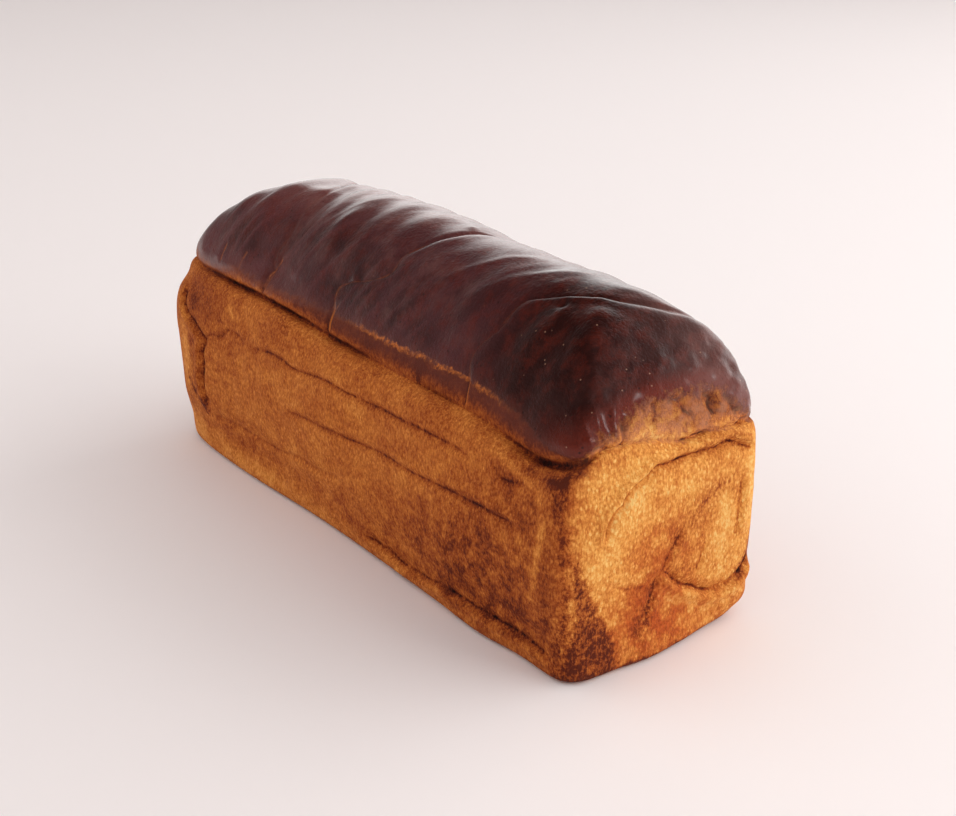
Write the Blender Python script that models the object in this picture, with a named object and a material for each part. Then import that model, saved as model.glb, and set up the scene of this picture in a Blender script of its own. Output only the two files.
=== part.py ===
# A brioche loaf baked in a long tin: a soft straight-sided body, a crack all round at the tin's
# rim, and a glazed dome of four dough pieces that have grown together above it.
# Metres, +Z up. X runs along the loaf with the paler end at +X, and the long front side faces -Y.
import bpy
import bmesh
import numpy as np

# Dome and crack
DOME_LENGTH = 0.274          # dome crust from end to end, at the crack
DOME_WIDTH = 0.0842
DOME_RISE = 0.0434           # crown above the crack
NEAR_CAP = 0.0378            # length in which the dome comes down to the +X end
FAR_CAP = 0.0844             # the same at the -X end, which slopes more
DOME_HAUNCH = 1.6            # fullness of the dome's haunches: 2 is an ellipse, less is leaner
DOME_CORNERS = 7.2           # exponent of the dome's plan: 2 is an ellipse, more is squarer
CRACK_HEIGHT = 0.0817
CRACK_FALL = 0.0034          # the crack is this much lower at the +X end, and higher at the -X end

# Unevenness of the crown along the loaf: (x, distance that the crust stands up or sinks)
CROWN_LINE = ((-0.100, 0.0), (-0.075, 0.0006), (-0.050, -0.0008), (-0.025, 0.0002),
              (0.000, 0.0006), (0.025, 0.0), (0.050, -0.0006), (0.075, -0.0003),
              (0.100, -0.0004), (0.122, 0.0))

# How far the crack strays from its straight course: along the front as points (x, distance up),
# and across the +X end as points (y, distance up)
FRONT_CRACK = ((-0.137, 0.0), (-0.105, 0.0), (-0.062, 0.0012), (-0.030, 0.0007), (-0.010, 0.0),
               (0.020, -0.0001), (0.060, 0.0003), (0.085, 0.0002), (0.097, -0.0010),
               (0.112, -0.0031), (0.137, -0.0030))
NEAR_CRACK = ((-0.043, -0.0020), (-0.035, 0.0036), (-0.024, 0.0045), (-0.011, 0.0030),
              (0.004, -0.0010), (0.020, -0.0005), (0.037, -0.0026))
NEAR_CRACK_FROM = 0.114      # where the front's course gives way to the end's
NEAR_CRACK_TO = 0.132
FRONT_CRACK_REACH = 0.8      # share of the half width over which the front's course sets in
CRACK_CALM = 0.4             # share of the dome's height above which nothing of it is left

# Body
BODY_CORNERS = 9.2
LEDGE_FROM = 0.88            # share of the crack's height where its plan starts to ease into the dome's
BASE_RADIUS = 0.003
BACK_CORNER_CUT = 0.0070     # the +X corner at the back is rounded off this much at its foot
BACK_CORNER_HEIGHT = 0.006
CORNER_SHARPNESS = 3         # exponent with which a corner's own shape dies out along the walls

# How far each wall stands proud of the dome's foot: (share of the crack's height, distance)
FRONT_WALL = ((0.0, 0.0045), (0.08, 0.0049), (0.16, 0.0050), (0.30, 0.0068), (0.50, 0.0078),
              (0.70, 0.0071), (0.88, 0.0053), (0.95, 0.0036), (1.0, 0.0))
BACK_WALL = ((0.0, 0.0007), (0.08, 0.0010), (0.16, 0.0006), (0.50, 0.0), (1.0, 0.0))
NEAR_WALL = ((0.0, 0.0022), (0.08, 0.0024), (0.20, 0.0017), (0.50, 0.0021), (0.88, 0.0015),
             (0.95, 0.0010), (1.0, 0.0))
FAR_WALL = ((0.0, 0.0030), (0.08, 0.0034), (0.20, 0.0038), (0.50, 0.0055), (0.80, 0.0042),
            (0.95, 0.0022), (1.0, 0.0))
BACK_BELLY = 0.0022          # extra swell in the middle of the back wall
BELLY_RUN = 0.07             # length in which it dies out at each end

# How far the front corner at -X swells or draws in, in the same terms
EAR = ((0.0, -0.0022), (0.08, -0.0016), (0.20, 0.0), (0.50, 0.0), (0.74, 0.0018), (0.84, 0.0),
       (0.93, -0.0036), (1.0, -0.0002))

# The foot of the front wall wanders in and out, as points (x, distance), and so does the +X
# end's, as points (y, distance)
FRONT_FOOT = ((-0.125, 0.0009), (-0.070, 0.0007), (-0.024, -0.0012), (0.030, -0.0008),
              (0.064, 0.0002), (0.094, 0.0013), (0.110, -0.0005), (0.132, -0.0002))
NEAR_FOOT = ((-0.040, -0.0002), (-0.024, 0.0), (-0.009, 0.0014), (0.004, 0.0001),
             (0.020, -0.0016), (0.036, -0.0004))
FOOT_HEIGHT = 0.016

# Crack, and the crust that hangs over it. The front's crack has its strength as points
# (x, share of the full depth)
CRACK_DEPTH = 0.0022
CRACK_SPREAD = 0.0023
OVERHANG = 0.0010
OVERHANG_RISE = 0.0065       # height of the overhang's middle above the crack
OVERHANG_SPREAD = 0.0040
FRONT_STRENGTH = ((-0.137, 0.4), (-0.124, 0.45), (-0.106, 1.0), (0.0, 1.0), (0.058, 0.6), (0.137, 0.6))
BACK_STRENGTH = 0.8
END_STRENGTH = 0.4

# Seams between the dough pieces, front to back: each has its course over the dome as points
# (y, x), the depth and spread of the valley it lies in, and the depth of the seam itself
SEAMS = (
    {"course": ((-0.046, -0.064), (-0.035, -0.063), (-0.021, -0.0655), (-0.010, -0.0655),
                (0.024, -0.080), (0.046, -0.075)),
     "valley": 0.0037, "valley_spread": 0.0158, "groove": 0.0018},
    {"course": ((-0.046, -0.011), (-0.038, -0.015), (-0.032, 0.004), (-0.022, 0.011),
                (-0.009, 0.021), (0.006, 0.028), (0.020, 0.046), (0.046, 0.060)),
     "valley": 0.0014, "valley_spread": 0.012, "groove": 0.0012},
    {"course": ((-0.046, 0.075), (-0.038, 0.073), (-0.030, 0.078), (-0.019, 0.082),
                (-0.010, 0.099), (0.008, 0.1136), (0.030, 0.1196), (0.046, 0.1216)),
     "valley": 0.0009, "valley_spread": 0.010, "groove": 0.0011},
)
SEAM_SPREAD = 0.0034
SEAM_RISE = 0.003            # height above the crack at which a seam has its full depth
DOME_RELIEF_RISE = 0.012     # and the same for the valleys, the crown's unevenness and the ripples

# Ripples in the crust, which run across the loaf
RIPPLE_HEIGHT = 0.00035
RIPPLE_LENGTH = 0.016
RIPPLE_STRETCH = 4.0         # a ripple is this many times longer across the loaf than along it
RIPPLE_SEED = 11

# Creases that run along the long sides, as points (x, height above the table)
FRONT_CREASES = (
    ((-0.087, 0.066), (-0.073, 0.067), (-0.060, 0.0635), (-0.040, 0.066), (0.016, 0.0665),
     (0.074, 0.0684), (0.104, 0.0662), (0.114, 0.0676)),
    ((-0.036, 0.0455), (-0.003, 0.048), (0.032, 0.050), (0.076, 0.052), (0.117, 0.0523)),
    ((-0.094, 0.0208), (-0.057, 0.0215), (-0.032, 0.0257), (0.005, 0.0282)),
    ((0.027, 0.0083), (0.042, 0.0071), (0.070, 0.0109), (0.121, 0.0107), (0.131, 0.0096)),
)
BACK_CREASES = (
    ((-0.112, 0.058), (-0.060, 0.062), (0.010, 0.060), (0.070, 0.064)),
    ((-0.070, 0.036), (0.000, 0.033), (0.085, 0.038)),
)
CREASE_DEPTH = 0.0011
CREASE_SPREAD = 0.0036

# Folds of the two end walls, as points (y, height above the table)
NEAR_FOLDS = (
    ((0.038, 0.0654), (0.021, 0.0716), (-0.006, 0.072), (-0.019, 0.0704), (-0.0285, 0.061),
     (-0.029, 0.0515)),
    ((-0.0034, 0.0311), (0.008, 0.0213), (0.016, 0.0173), (0.0236, 0.0161), (0.035, 0.0203),
     (0.0385, 0.0239)),
    ((0.0035, 0.048), (-0.0034, 0.0311), (-0.010, 0.0285), (-0.0136, 0.0198)),
)
FAR_FOLDS = (
    ((-0.032, 0.062), (-0.010, 0.069), (0.018, 0.066), (0.034, 0.058)),
    ((-0.020, 0.026), (0.004, 0.021), (0.026, 0.028)),
)
FOLD_DEPTH = 0.0013
FOLD_SPREAD = 0.0030

# Fold that sets off the rolled front corner at -X, as points (x, height above the table)
CORNER_ROLL = ((-0.121, 0.075), (-0.121, 0.0646), (-0.103, 0.057), (-0.110, 0.038), (-0.115, 0.021))
CORNER_ROLL_DEPTH = 0.0016

# Slow unevenness of the whole body
WAVE_HEIGHT = 0.00045
WAVE_LENGTH = 0.045
WAVE_SEED = 5
WAVE_COUNT = 7

# A wall's crease or fold is cut only where the surface faces that wall's way by this much
FACING = 0.6

# Net of the surface: cells along the loaf, and rows up it
MIDDLE_CELLS = 34
NEAR_CAP_CELLS = 9
FAR_CAP_CELLS = 17
CROSS_CELLS = 16
WALL_ROWS = (0.012, 0.035, 0.07, 0.11, 0.16, 0.22, 0.29, 0.36, 0.43, 0.50, 0.57, 0.64, 0.70,
             0.76, 0.82, 0.87, 0.92, 0.965, 1.0)
DOME_ROWS = (0.05, 0.12, 0.21, 0.32, 0.45, 0.60, 0.78)
TINY = 1e-6

CRUST_COLOUR = (0.36, 0.15, 0.05, 1.0)
CRUST_ROUGHNESS = 0.45


def curve_through(points, at):
    """Height of the smooth curve through the points, at each place along it."""
    along = np.array([point[0] for point in points])
    value = np.array([point[1] for point in points])
    slope = np.gradient(value, along)
    place = np.clip(at, along[0], along[-1])
    left = np.clip(np.searchsorted(along, place, side="right") - 1, 0, len(along) - 2)
    gap = along[left + 1] - along[left]
    share = (place - along[left]) / gap
    rest = 1.0 - share
    return (value[left] * rest ** 2 * (1 + 2 * share) + value[left + 1] * share ** 2 * (3 - 2 * share)
            + gap * slope[left] * share * rest ** 2 - gap * slope[left + 1] * share ** 2 * rest)


def bump(distance, spread):
    """Bell curve: one at no distance, fading over the spread."""
    return np.exp(-(distance / spread) ** 2)


def fade(value, start, end):
    """Rises smoothly from nothing at the start to one at the end."""
    share = np.clip((value - start) / (end - start), 0.0, 1.0)
    return share * share * (3.0 - 2.0 * share)


def waves(places, length, seed):
    """Soft unevenness between about -1 and 1, made of waves in seeded directions."""
    draw = np.random.default_rng(seed)
    total = np.zeros(len(places))
    for _ in range(WAVE_COUNT):
        direction = draw.normal(size=3)
        direction *= 2.0 * np.pi / (length * np.linalg.norm(direction))
        total += np.sin(places @ direction + draw.uniform(0.0, 2.0 * np.pi))
    return total / np.sqrt(WAVE_COUNT / 2.0)


def distance_to_line(across, up, points):
    """Distance from each place on a wall to a line through the points."""
    nearest = np.full(len(across), np.inf)
    for start, end in zip(points[:-1], points[1:]):
        step = np.subtract(end, start)
        offset = np.stack([across - start[0], up - start[1]], axis=1)
        share = np.clip(offset @ step / (step @ step), 0.0, 1.0)
        gap = np.hypot(offset[:, 0] - share * step[0], offset[:, 1] - share * step[1])
        nearest = np.minimum(nearest, gap)
    return nearest


def length_stations():
    """Where the net is cut along the loaf, from -1 to 1."""
    half = DOME_LENGTH / 2
    far, near = -(half - FAR_CAP) / half, (half - NEAR_CAP) / half
    return np.concatenate([
        np.linspace(-1.0, far, FAR_CAP_CELLS + 1)[1:],
        np.linspace(far, near, MIDDLE_CELLS + 1)[1:],
        np.linspace(near, 1.0, NEAR_CAP_CELLS + 1)[1:-1],
    ])


def cut_net():
    """A box of 2 by 2 by 2 cut into a net: its height 0 to 1 is the wall and 1 to 2 the dome."""
    bm = bmesh.new()
    bmesh.ops.create_cube(bm, size=2.0)
    bmesh.ops.translate(bm, verts=bm.verts, vec=(0.0, 0.0, 1.0))
    cross_stations = np.linspace(-1.0, 1.0, CROSS_CELLS + 1)[1:-1]
    row_stations = list(WALL_ROWS) + [1.0 + row for row in DOME_ROWS]
    cuts = [((place, 0, 0), (1, 0, 0)) for place in length_stations()]
    cuts += [((0, place, 0), (0, 1, 0)) for place in cross_stations]
    cuts += [((0, 0, place), (0, 0, 1)) for place in row_stations]
    for place, normal in cuts:
        geometry = bm.verts[:] + bm.edges[:] + bm.faces[:]
        bmesh.ops.bisect_plane(bm, geom=geometry, dist=TINY, plane_co=place, plane_no=normal)
    base = [face for face in bm.faces if face.calc_center_median().z < TINY]
    bmesh.ops.dissolve_faces(bm, faces=base, use_verts=True)
    return bm


def crack_course(x, y, side_part):
    """How far the crack strays from its straight line, at each place round the loaf."""
    at_near_end = fade(x, NEAR_CRACK_FROM, NEAR_CRACK_TO)
    front = curve_through(FRONT_CRACK, x) * fade(-side_part, 0.0, FRONT_CRACK_REACH)
    return front * (1.0 - at_near_end) + curve_through(NEAR_CRACK, y) * at_near_end


def wall_profile(x, y, side_part, end_part, height, crack):
    """How far the body stands proud of the dome's foot, along its sides and along its ends."""
    half_length = DOME_LENGTH / 2
    above_table = crack * height
    rounding = np.clip(BASE_RADIUS - above_table, 0.0, BASE_RADIUS)
    foot = BASE_RADIUS - np.sqrt(BASE_RADIUS ** 2 - rounding ** 2)
    corner = np.abs(end_part * side_part) ** CORNER_SHARPNESS
    back_cut = BACK_CORNER_CUT * bump(above_table, BACK_CORNER_HEIGHT) * corner * (x > 0) * (y > 0)
    ear = curve_through(EAR, height) * corner * (x < 0) * (y < 0)
    belly = BACK_BELLY * np.sin(np.pi * height) * fade(half_length - np.abs(x), 0.0, BELLY_RUN)
    low_down = bump(above_table, FOOT_HEIGHT)
    front = curve_through(FRONT_WALL, height) + low_down * curve_through(FRONT_FOOT, x)
    back = curve_through(BACK_WALL, height) + belly
    near = curve_through(NEAR_WALL, height) + low_down * curve_through(NEAR_FOOT, y)
    far = curve_through(FAR_WALL, height)
    side_proud = np.where(y < 0, front, back) - foot - back_cut + ear
    end_proud = np.where(x > 0, near, far) - foot - back_cut + ear
    return side_proud, end_proud


def loaf_form(net):
    """Places of the net's points on the loaf without its relief, and the crack's height there."""
    along, across, level = net.T
    half_length, half_width = DOME_LENGTH / 2, DOME_WIDTH / 2
    wall = level <= 1.0
    height = np.clip(level, 0.0, 1.0)
    up = np.clip(level - 1.0, 0.0, 1.0)

    cap = np.where(along > 0, NEAR_CAP, FAR_CAP)
    straight = 1.0 - cap / half_length
    in_cap = np.clip((np.abs(along) - straight) / (1.0 - straight), 0.0, 1.0) * np.sign(along)
    ledge_share = np.clip(height - LEDGE_FROM, 0.0, 1.0) / (1.0 - LEDGE_FROM)
    ledge = np.sqrt(np.clip(1.0 - ledge_share ** 2, 0.0, 1.0))
    corners = DOME_CORNERS + (BODY_CORNERS - DOME_CORNERS) * np.where(wall, ledge, 0.0)
    plan = np.maximum(np.abs(in_cap), TINY) ** corners + np.maximum(np.abs(across), TINY) ** corners
    shrink = (plan ** (2.0 / corners) + up ** 2) ** -0.5
    end_part, side_part = in_cap * shrink, across * shrink
    up_part = (up * shrink) ** (2.0 / DOME_HAUNCH)

    middle = np.sign(along) * np.minimum(np.abs(along) / straight, 1.0) * (half_length - cap)
    x = middle + end_part * cap
    y = side_part * half_width
    straight_crack = CRACK_HEIGHT - CRACK_FALL * x / half_length
    course = crack_course(x, y, side_part)
    crack = straight_crack + course
    z = (straight_crack + course * fade(up, CRACK_CALM, 0.0)) * height + DOME_RISE * up_part

    side_proud, end_proud = wall_profile(x, y, side_part, end_part, height, crack)
    y += np.where(wall, side_part * side_proud, 0.0)
    x += np.where(wall, end_part * end_proud, 0.0)
    return np.stack([x, y, z], axis=1), crack


def dome_relief(places, crack):
    """Height of the dome's seams, valleys, crown line and ripples over the plain form."""
    x, y, z = places.T
    on_dome = fade(z - crack, 0.0, DOME_RELIEF_RISE)
    on_seam = fade(z - crack, 0.0, SEAM_RISE)
    relief = on_dome * curve_through(CROWN_LINE, x)
    for seam in SEAMS:
        distance = x - curve_through(seam["course"], y)
        relief -= on_dome * seam["valley"] * bump(distance, seam["valley_spread"])
        relief -= on_seam * seam["groove"] * bump(distance, SEAM_SPREAD)
    stretched = places / (1.0, RIPPLE_STRETCH, RIPPLE_STRETCH)
    relief += on_dome * RIPPLE_HEIGHT * waves(stretched, RIPPLE_LENGTH, RIPPLE_SEED)
    return relief


def crack_relief(places, crack, normals):
    """The crack at the tin's rim, deepest along the front, and the crust that hangs over it."""
    x, y, z = places.T
    strength = np.full(len(places), BACK_STRENGTH)
    strength = np.where(normals[:, 1] < -FACING, curve_through(FRONT_STRENGTH, x), strength)
    strength = np.where(np.abs(normals[:, 0]) > FACING, END_STRENGTH, strength)
    groove = CRACK_DEPTH * bump(z - crack, CRACK_SPREAD)
    overhang = OVERHANG * bump(z - crack - OVERHANG_RISE, OVERHANG_SPREAD) * (z > crack)
    return strength * (overhang - groove)


def wall_relief(places, crack, normals):
    """Creases of the long sides, folds of the ends and the slow unevenness of the body."""
    x, y, z = places.T
    relief = WAVE_HEIGHT * waves(places, WAVE_LENGTH, WAVE_SEED)
    front, back = normals[:, 1] < -FACING, normals[:, 1] > FACING
    near, far = normals[:, 0] > FACING, normals[:, 0] < -FACING
    for side, creases in ((front, FRONT_CREASES), (back, BACK_CREASES)):
        for crease in creases:
            relief -= side * CREASE_DEPTH * bump(distance_to_line(x, z, crease), CREASE_SPREAD)
    for end, folds in ((near, NEAR_FOLDS), (far, FAR_FOLDS)):
        for fold in folds:
            relief -= end * FOLD_DEPTH * bump(distance_to_line(y, z, fold), FOLD_SPREAD)
    relief -= front * CORNER_ROLL_DEPTH * bump(distance_to_line(x, z, CORNER_ROLL), FOLD_SPREAD)
    on_wall = (z < crack) * fade(z, BASE_RADIUS, 3 * BASE_RADIUS)
    return on_wall * relief


def crust_material():
    material = bpy.data.materials.new("browned_crust")
    material.use_nodes = True
    shader = material.node_tree.nodes["Principled BSDF"]
    shader.inputs["Base Color"].default_value = CRUST_COLOUR
    shader.inputs["Roughness"].default_value = CRUST_ROUGHNESS
    shader.inputs["Metallic"].default_value = 0.0
    return material


def build_loaf():
    bm = cut_net()
    net = np.array([vert.co[:] for vert in bm.verts])
    places, crack = loaf_form(net)
    for vert, place in zip(bm.verts, places):
        vert.co = place
    bm.normal_update()
    normals = np.array([vert.normal[:] for vert in bm.verts])

    relief = dome_relief(places, crack) * (places[:, 2] > crack)
    relief += crack_relief(places, crack, normals)
    relief += wall_relief(places, crack, normals)
    relief[net[:, 2] < TINY] = 0.0
    places = places + normals * relief[:, None]

    low, high = places.min(axis=0), places.max(axis=0)
    places[:, :2] -= (low + high)[:2] / 2
    for vert, place in zip(bm.verts, places):
        vert.co = place
    bmesh.ops.recalc_face_normals(bm, faces=bm.faces)

    mesh = bpy.data.meshes.new("loaf")
    bm.to_mesh(mesh)
    bm.free()
    mesh.shade_smooth()
    loaf = bpy.data.objects.new("loaf", mesh)
    loaf.data.materials.append(crust_material())
    bpy.context.scene.collection.objects.link(loaf)
    return loaf


for old in list(bpy.data.objects):
    bpy.data.objects.remove(old)
build_loaf()
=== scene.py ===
from itertools import product
from math import cos, pi, radians, sin

import bpy
import numpy as np
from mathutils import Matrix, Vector


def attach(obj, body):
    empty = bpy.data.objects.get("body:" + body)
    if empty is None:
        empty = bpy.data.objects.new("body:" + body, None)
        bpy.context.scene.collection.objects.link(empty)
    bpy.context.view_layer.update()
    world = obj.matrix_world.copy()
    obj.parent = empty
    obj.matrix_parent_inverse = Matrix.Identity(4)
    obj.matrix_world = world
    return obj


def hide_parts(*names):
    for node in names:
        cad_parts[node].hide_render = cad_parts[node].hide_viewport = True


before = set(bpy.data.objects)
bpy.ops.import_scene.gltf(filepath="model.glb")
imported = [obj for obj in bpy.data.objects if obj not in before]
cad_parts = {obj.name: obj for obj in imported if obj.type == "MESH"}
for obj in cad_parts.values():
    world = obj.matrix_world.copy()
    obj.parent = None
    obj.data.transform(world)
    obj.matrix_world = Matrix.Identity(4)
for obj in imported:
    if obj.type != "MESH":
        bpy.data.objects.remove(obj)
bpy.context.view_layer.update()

mm = 0.001


# Small helpers for numbers

def curveThrough(points, at):  # smooth curve through (place, value) points, in mm
    along = np.array([point[0] for point in points], float)
    value = np.array([point[1] for point in points], float)
    slope = np.gradient(value, along)
    place = np.clip(at, along[0], along[-1])
    left = np.clip(np.searchsorted(along, place, side="right") - 1, 0, len(along) - 2)
    gap = along[left + 1] - along[left]
    share = (place - along[left]) / gap
    rest = 1 - share
    return (value[left] * rest ** 2 * (1 + 2 * share) + value[left + 1] * share ** 2 * (3 - 2 * share)
            + gap * slope[left] * share * rest ** 2 - gap * slope[left + 1] * share ** 2 * rest)


def bump(distance, spread):
    return np.exp(-(distance / spread) ** 2)


def fade(value, start, end):
    share = np.clip((value - start) / (end - start), 0, 1)
    return share * share * (3 - 2 * share)


def waves(places, length, seed, count=7):  # long soft unevenness from seeded sine waves
    draw = np.random.default_rng(seed)
    total = np.zeros(len(places))
    for _ in range(count):
        direction = draw.normal(size=3)
        direction *= 2 * pi / (length * np.linalg.norm(direction))
        total += np.sin(places @ direction + draw.uniform(0, 2 * pi))
    return total / np.sqrt(count / 2)


def cornerValue(cell, seed):  # the same random number each time for a lattice corner
    mixed = cell @ np.array([73856093, 19349663, 83492791]) + seed * 2654435761
    mixed = (mixed ^ (mixed >> 13)) * 1274126177
    mixed ^= mixed >> 16
    return (mixed & 0xFFFFFF) / 0xFFFFFF


def lumps(places, size, seed, layers=2):  # noise from -1 to 1, size in mm along x, y and z
    total = np.zeros(len(places))
    for layer in range(layers):
        scaled = places * 2 ** layer / np.array(size, float)
        cell = np.floor(scaled).astype(np.int64)
        part = scaled - cell
        part = part * part * (3 - 2 * part)
        for corner in product((0, 1), repeat=3):
            share = np.prod(np.where(corner, part, 1 - part), axis=1)
            total += share * (2 * cornerValue(cell + corner, seed + layer) - 1) / 2 ** layer
    return total


def ridges(places, noise, sharp, low):  # narrow crests along the middle of a noise
    return (1 - np.abs(lumps(places, *noise))) ** sharp - low


def smoothLine(points, count=28):  # the points joined by a curve, cut into even steps
    points = np.array(points, float)
    travel = np.concatenate([[0], np.cumsum(np.hypot(*np.diff(points, axis=0).T))])
    steps = np.linspace(0, travel[-1], count)
    return np.stack([curveThrough(list(zip(travel, points[:, axis])), steps) for axis in (0, 1)], axis=1)


def offsetFromLine(across, up, points):  # signed distance, and how far along the line from 0 to 1
    line = smoothLine(points)
    nearest = np.full(len(across), np.inf)
    signed = np.zeros(len(across))
    travel = np.zeros(len(across))
    for index, (start, end) in enumerate(zip(line[:-1], line[1:])):
        step = end - start
        dx, dz = across - start[0], up - start[1]
        share = np.clip((dx * step[0] + dz * step[1]) / (step @ step), 0, 1)
        gap = np.hypot(dx - share * step[0], dz - share * step[1])
        closer = gap < nearest
        nearest = np.where(closer, gap, nearest)
        signed = np.where(closer, np.copysign(gap, step[0] * dz - step[1] * dx), signed)
        travel = np.where(closer, (index + share) / (len(line) - 1), travel)
    return signed, travel


# The loaf's form, all in mm: +X is the near end, the long front side faces -Y

dome = {
    "length": 274,
    "width": 84.2,
    "rise": 43.4,
    "nearCap": 37.8,             # how far from each end the dome starts to fall
    "farCap": 84.4,
    "haunch": 1.6,               # how full its shoulders are
    "corners": 7.2,              # how square it is from above
    "crack": 81.7,               # height of the crack, and how far it falls towards the near end
    "crackFall": 3.4,
    "crown": ((-100, 0), (-75, 0.6), (-50, -0.8), (-25, 0.2), (0, 0.6), (25, 0), (50, -0.6),
              (75, -0.3), (100, -0.4), (122, 0)),
    "crackFront": ((-137, 0), (-105, 0), (-62, 1.2), (-30, 0.7), (-10, 0), (20, -0.1), (60, 0.3),
                   (85, 0.2), (97, -1.0), (112, -3.1), (137, -3.0)),
    "crackNear": ((-43, -2.0), (-35, 3.6), (-24, 4.5), (-11, 3.0), (4, -1.0), (20, -0.5), (37, -2.6)),
    "nearFrom": (114, 132),
    "calm": 0.4,                 # how far up the dome it follows the crack's course
    "courseFrom": 0.8,
}

body = {  # how far each wall stands proud is given as (share of the crack's height, distance)
    "corners": 9.2,
    "cornerSharp": 3,
    "ledgeFrom": 0.88,           # above this share its corners turn into the dome's
    "baseRadius": 3,
    "backCut": 7.0,              # the near back corner's foot is cut away
    "backCutHeight": 6,
    "front": ((0, 4.5), (0.08, 4.9), (0.16, 5.0), (0.30, 6.8), (0.50, 7.8), (0.70, 7.1), (0.88, 5.3),
              (0.95, 3.6), (1, 0)),
    "back": ((0, 0.7), (0.08, 1.0), (0.16, 0.6), (0.50, 0), (1, 0)),
    "near": ((0, 2.2), (0.08, 2.4), (0.20, 1.7), (0.50, 2.1), (0.88, 1.5), (0.95, 1.0), (1, 0)),
    "far": ((0, 3.0), (0.08, 3.4), (0.20, 3.8), (0.50, 5.5), (0.80, 4.2), (0.95, 2.2), (1, 0)),
    "belly": 2.2,
    "bellyRun": 70,
    "ear": (  # the front corner of the far end
        (0, -2.2), (0.08, -1.6), (0.20, 0), (0.50, 0), (0.74, 1.8), (0.84, 0), (0.93, -3.6), (1, -0.2),
    ),
    "frontFoot": ((-125, 0.9), (-70, 0.7), (-24, -1.2), (30, -0.8), (64, 0.2), (94, 1.3), (110, -0.5),
                  (132, -0.2)),
    "nearFoot": ((-40, -0.2), (-24, 0), (-9, 1.4), (4, 0.1), (20, -1.6), (36, -0.4)),
    "footHeight": 16,
    "middle": (-1.201, -2.810),  # of the form's own frame, which the part's frame is centred on
}

net = {
    "nearCells": 40,
    "middleCells": 138,
    "farCells": 70,
    "crossCells": 76,
    "wallRows": ((0, 0.04, 6), (0.04, 0.94, 66), (0.94, 1, 10)),  # from, to, rows
    "domeRows": 33,
    "baseInset": 1.5,
}


def buildNet():  # a box cut into cells: its height 0 to 1 is the wall and 1 to 2 the dome's side
    half = dome["length"] / 2
    far, near = -(half - dome["farCap"]) / half, (half - dome["nearCap"]) / half
    along = np.concatenate([np.linspace(-1, far, net["farCells"] + 1)[:-1],
                            np.linspace(far, near, net["middleCells"] + 1)[:-1],
                            np.linspace(near, 1, net["nearCells"] + 1)])
    across = np.linspace(-1, 1, net["crossCells"] + 1)
    rows = [np.linspace(low, high, count + 1)[:-1] for low, high, count in net["wallRows"]]
    level = np.concatenate(rows + [1 + np.linspace(0, 1, net["domeRows"] + 1)])
    lastA, lastB, lastC = len(along) - 1, len(across) - 1, len(level) - 1
    patches = (  # one side of the box each: the two counts, and where the cells lie
        (lastA, lastC, lambda a, c: (a, 0 * a, c)),
        (lastC, lastA, lambda c, a: (a, 0 * a + lastB, c)),
        (lastC, lastB, lambda c, b: (0 * b, b, c)),
        (lastB, lastC, lambda b, c: (0 * b + lastA, b, c)),
        (lastA, lastB, lambda a, b: (a, b, 0 * a + lastC)),
    )
    corners, quads, count = [], [], 0
    for first, second, place in patches:
        one, two = np.meshgrid(range(first + 1), range(second + 1), indexing="ij")
        corners.append(np.stack(place(one, two), axis=-1).reshape(-1, 3))
        index = count + np.arange(one.size).reshape(one.shape)
        quad = np.stack([index[:-1, :-1], index[1:, :-1], index[1:, 1:], index[:-1, 1:]], axis=-1)
        quads.append(quad.reshape(-1, 4))
        count += one.size
    cells, joined = np.unique(np.concatenate(corners), axis=0, return_inverse=True)
    quads = joined.reshape(-1)[np.concatenate(quads)]
    points = np.stack([along[cells[:, 0]], across[cells[:, 1]], level[cells[:, 2]]], axis=1)
    return points, quads


def baseRing(points):  # the net's lowest points in order round the loaf
    low = np.where(points[:, 2] == 0)[0]
    a, b = points[low, 0], points[low, 1]
    side = np.select([b == -1, a == 1, b == 1], [0, 1, 2], 3)
    travel = np.select([side == 0, side == 1, side == 2], [a, b, -a], -b)
    return low[np.lexsort((travel, side))]


def crackCourse(x, y, sidePart):  # how far the crack strays from its straight line
    atEnd = fade(x, *dome["nearFrom"])
    front = curveThrough(dome["crackFront"], x) * fade(-sidePart, 0, dome["courseFrom"])
    return front * (1 - atEnd) + curveThrough(dome["crackNear"], y) * atEnd


def wallProfile(x, y, sidePart, endPart, height, crack):  # how far the body stands proud
    above = crack * height
    rounding = np.clip(body["baseRadius"] - above, 0, body["baseRadius"])
    foot = body["baseRadius"] - np.sqrt(body["baseRadius"] ** 2 - rounding ** 2)
    corner = np.abs(endPart * sidePart) ** body["cornerSharp"]
    backCut = body["backCut"] * bump(above, body["backCutHeight"]) * corner * (x > 0) * (y > 0)
    ear = curveThrough(body["ear"], height) * corner * (x < 0) * (y < 0)
    belly = body["belly"] * np.sin(pi * height)
    belly = belly * fade(dome["length"] / 2 - np.abs(x), 0, body["bellyRun"])
    lowDown = bump(above, body["footHeight"])
    front = curveThrough(body["front"], height) + lowDown * curveThrough(body["frontFoot"], x)
    back = curveThrough(body["back"], height) + belly
    near = curveThrough(body["near"], height) + lowDown * curveThrough(body["nearFoot"], y)
    far = curveThrough(body["far"], height)
    sideProud = np.where(y < 0, front, back) - foot - backCut + ear
    endProud = np.where(x > 0, near, far) - foot - backCut + ear
    return sideProud, endProud


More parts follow.
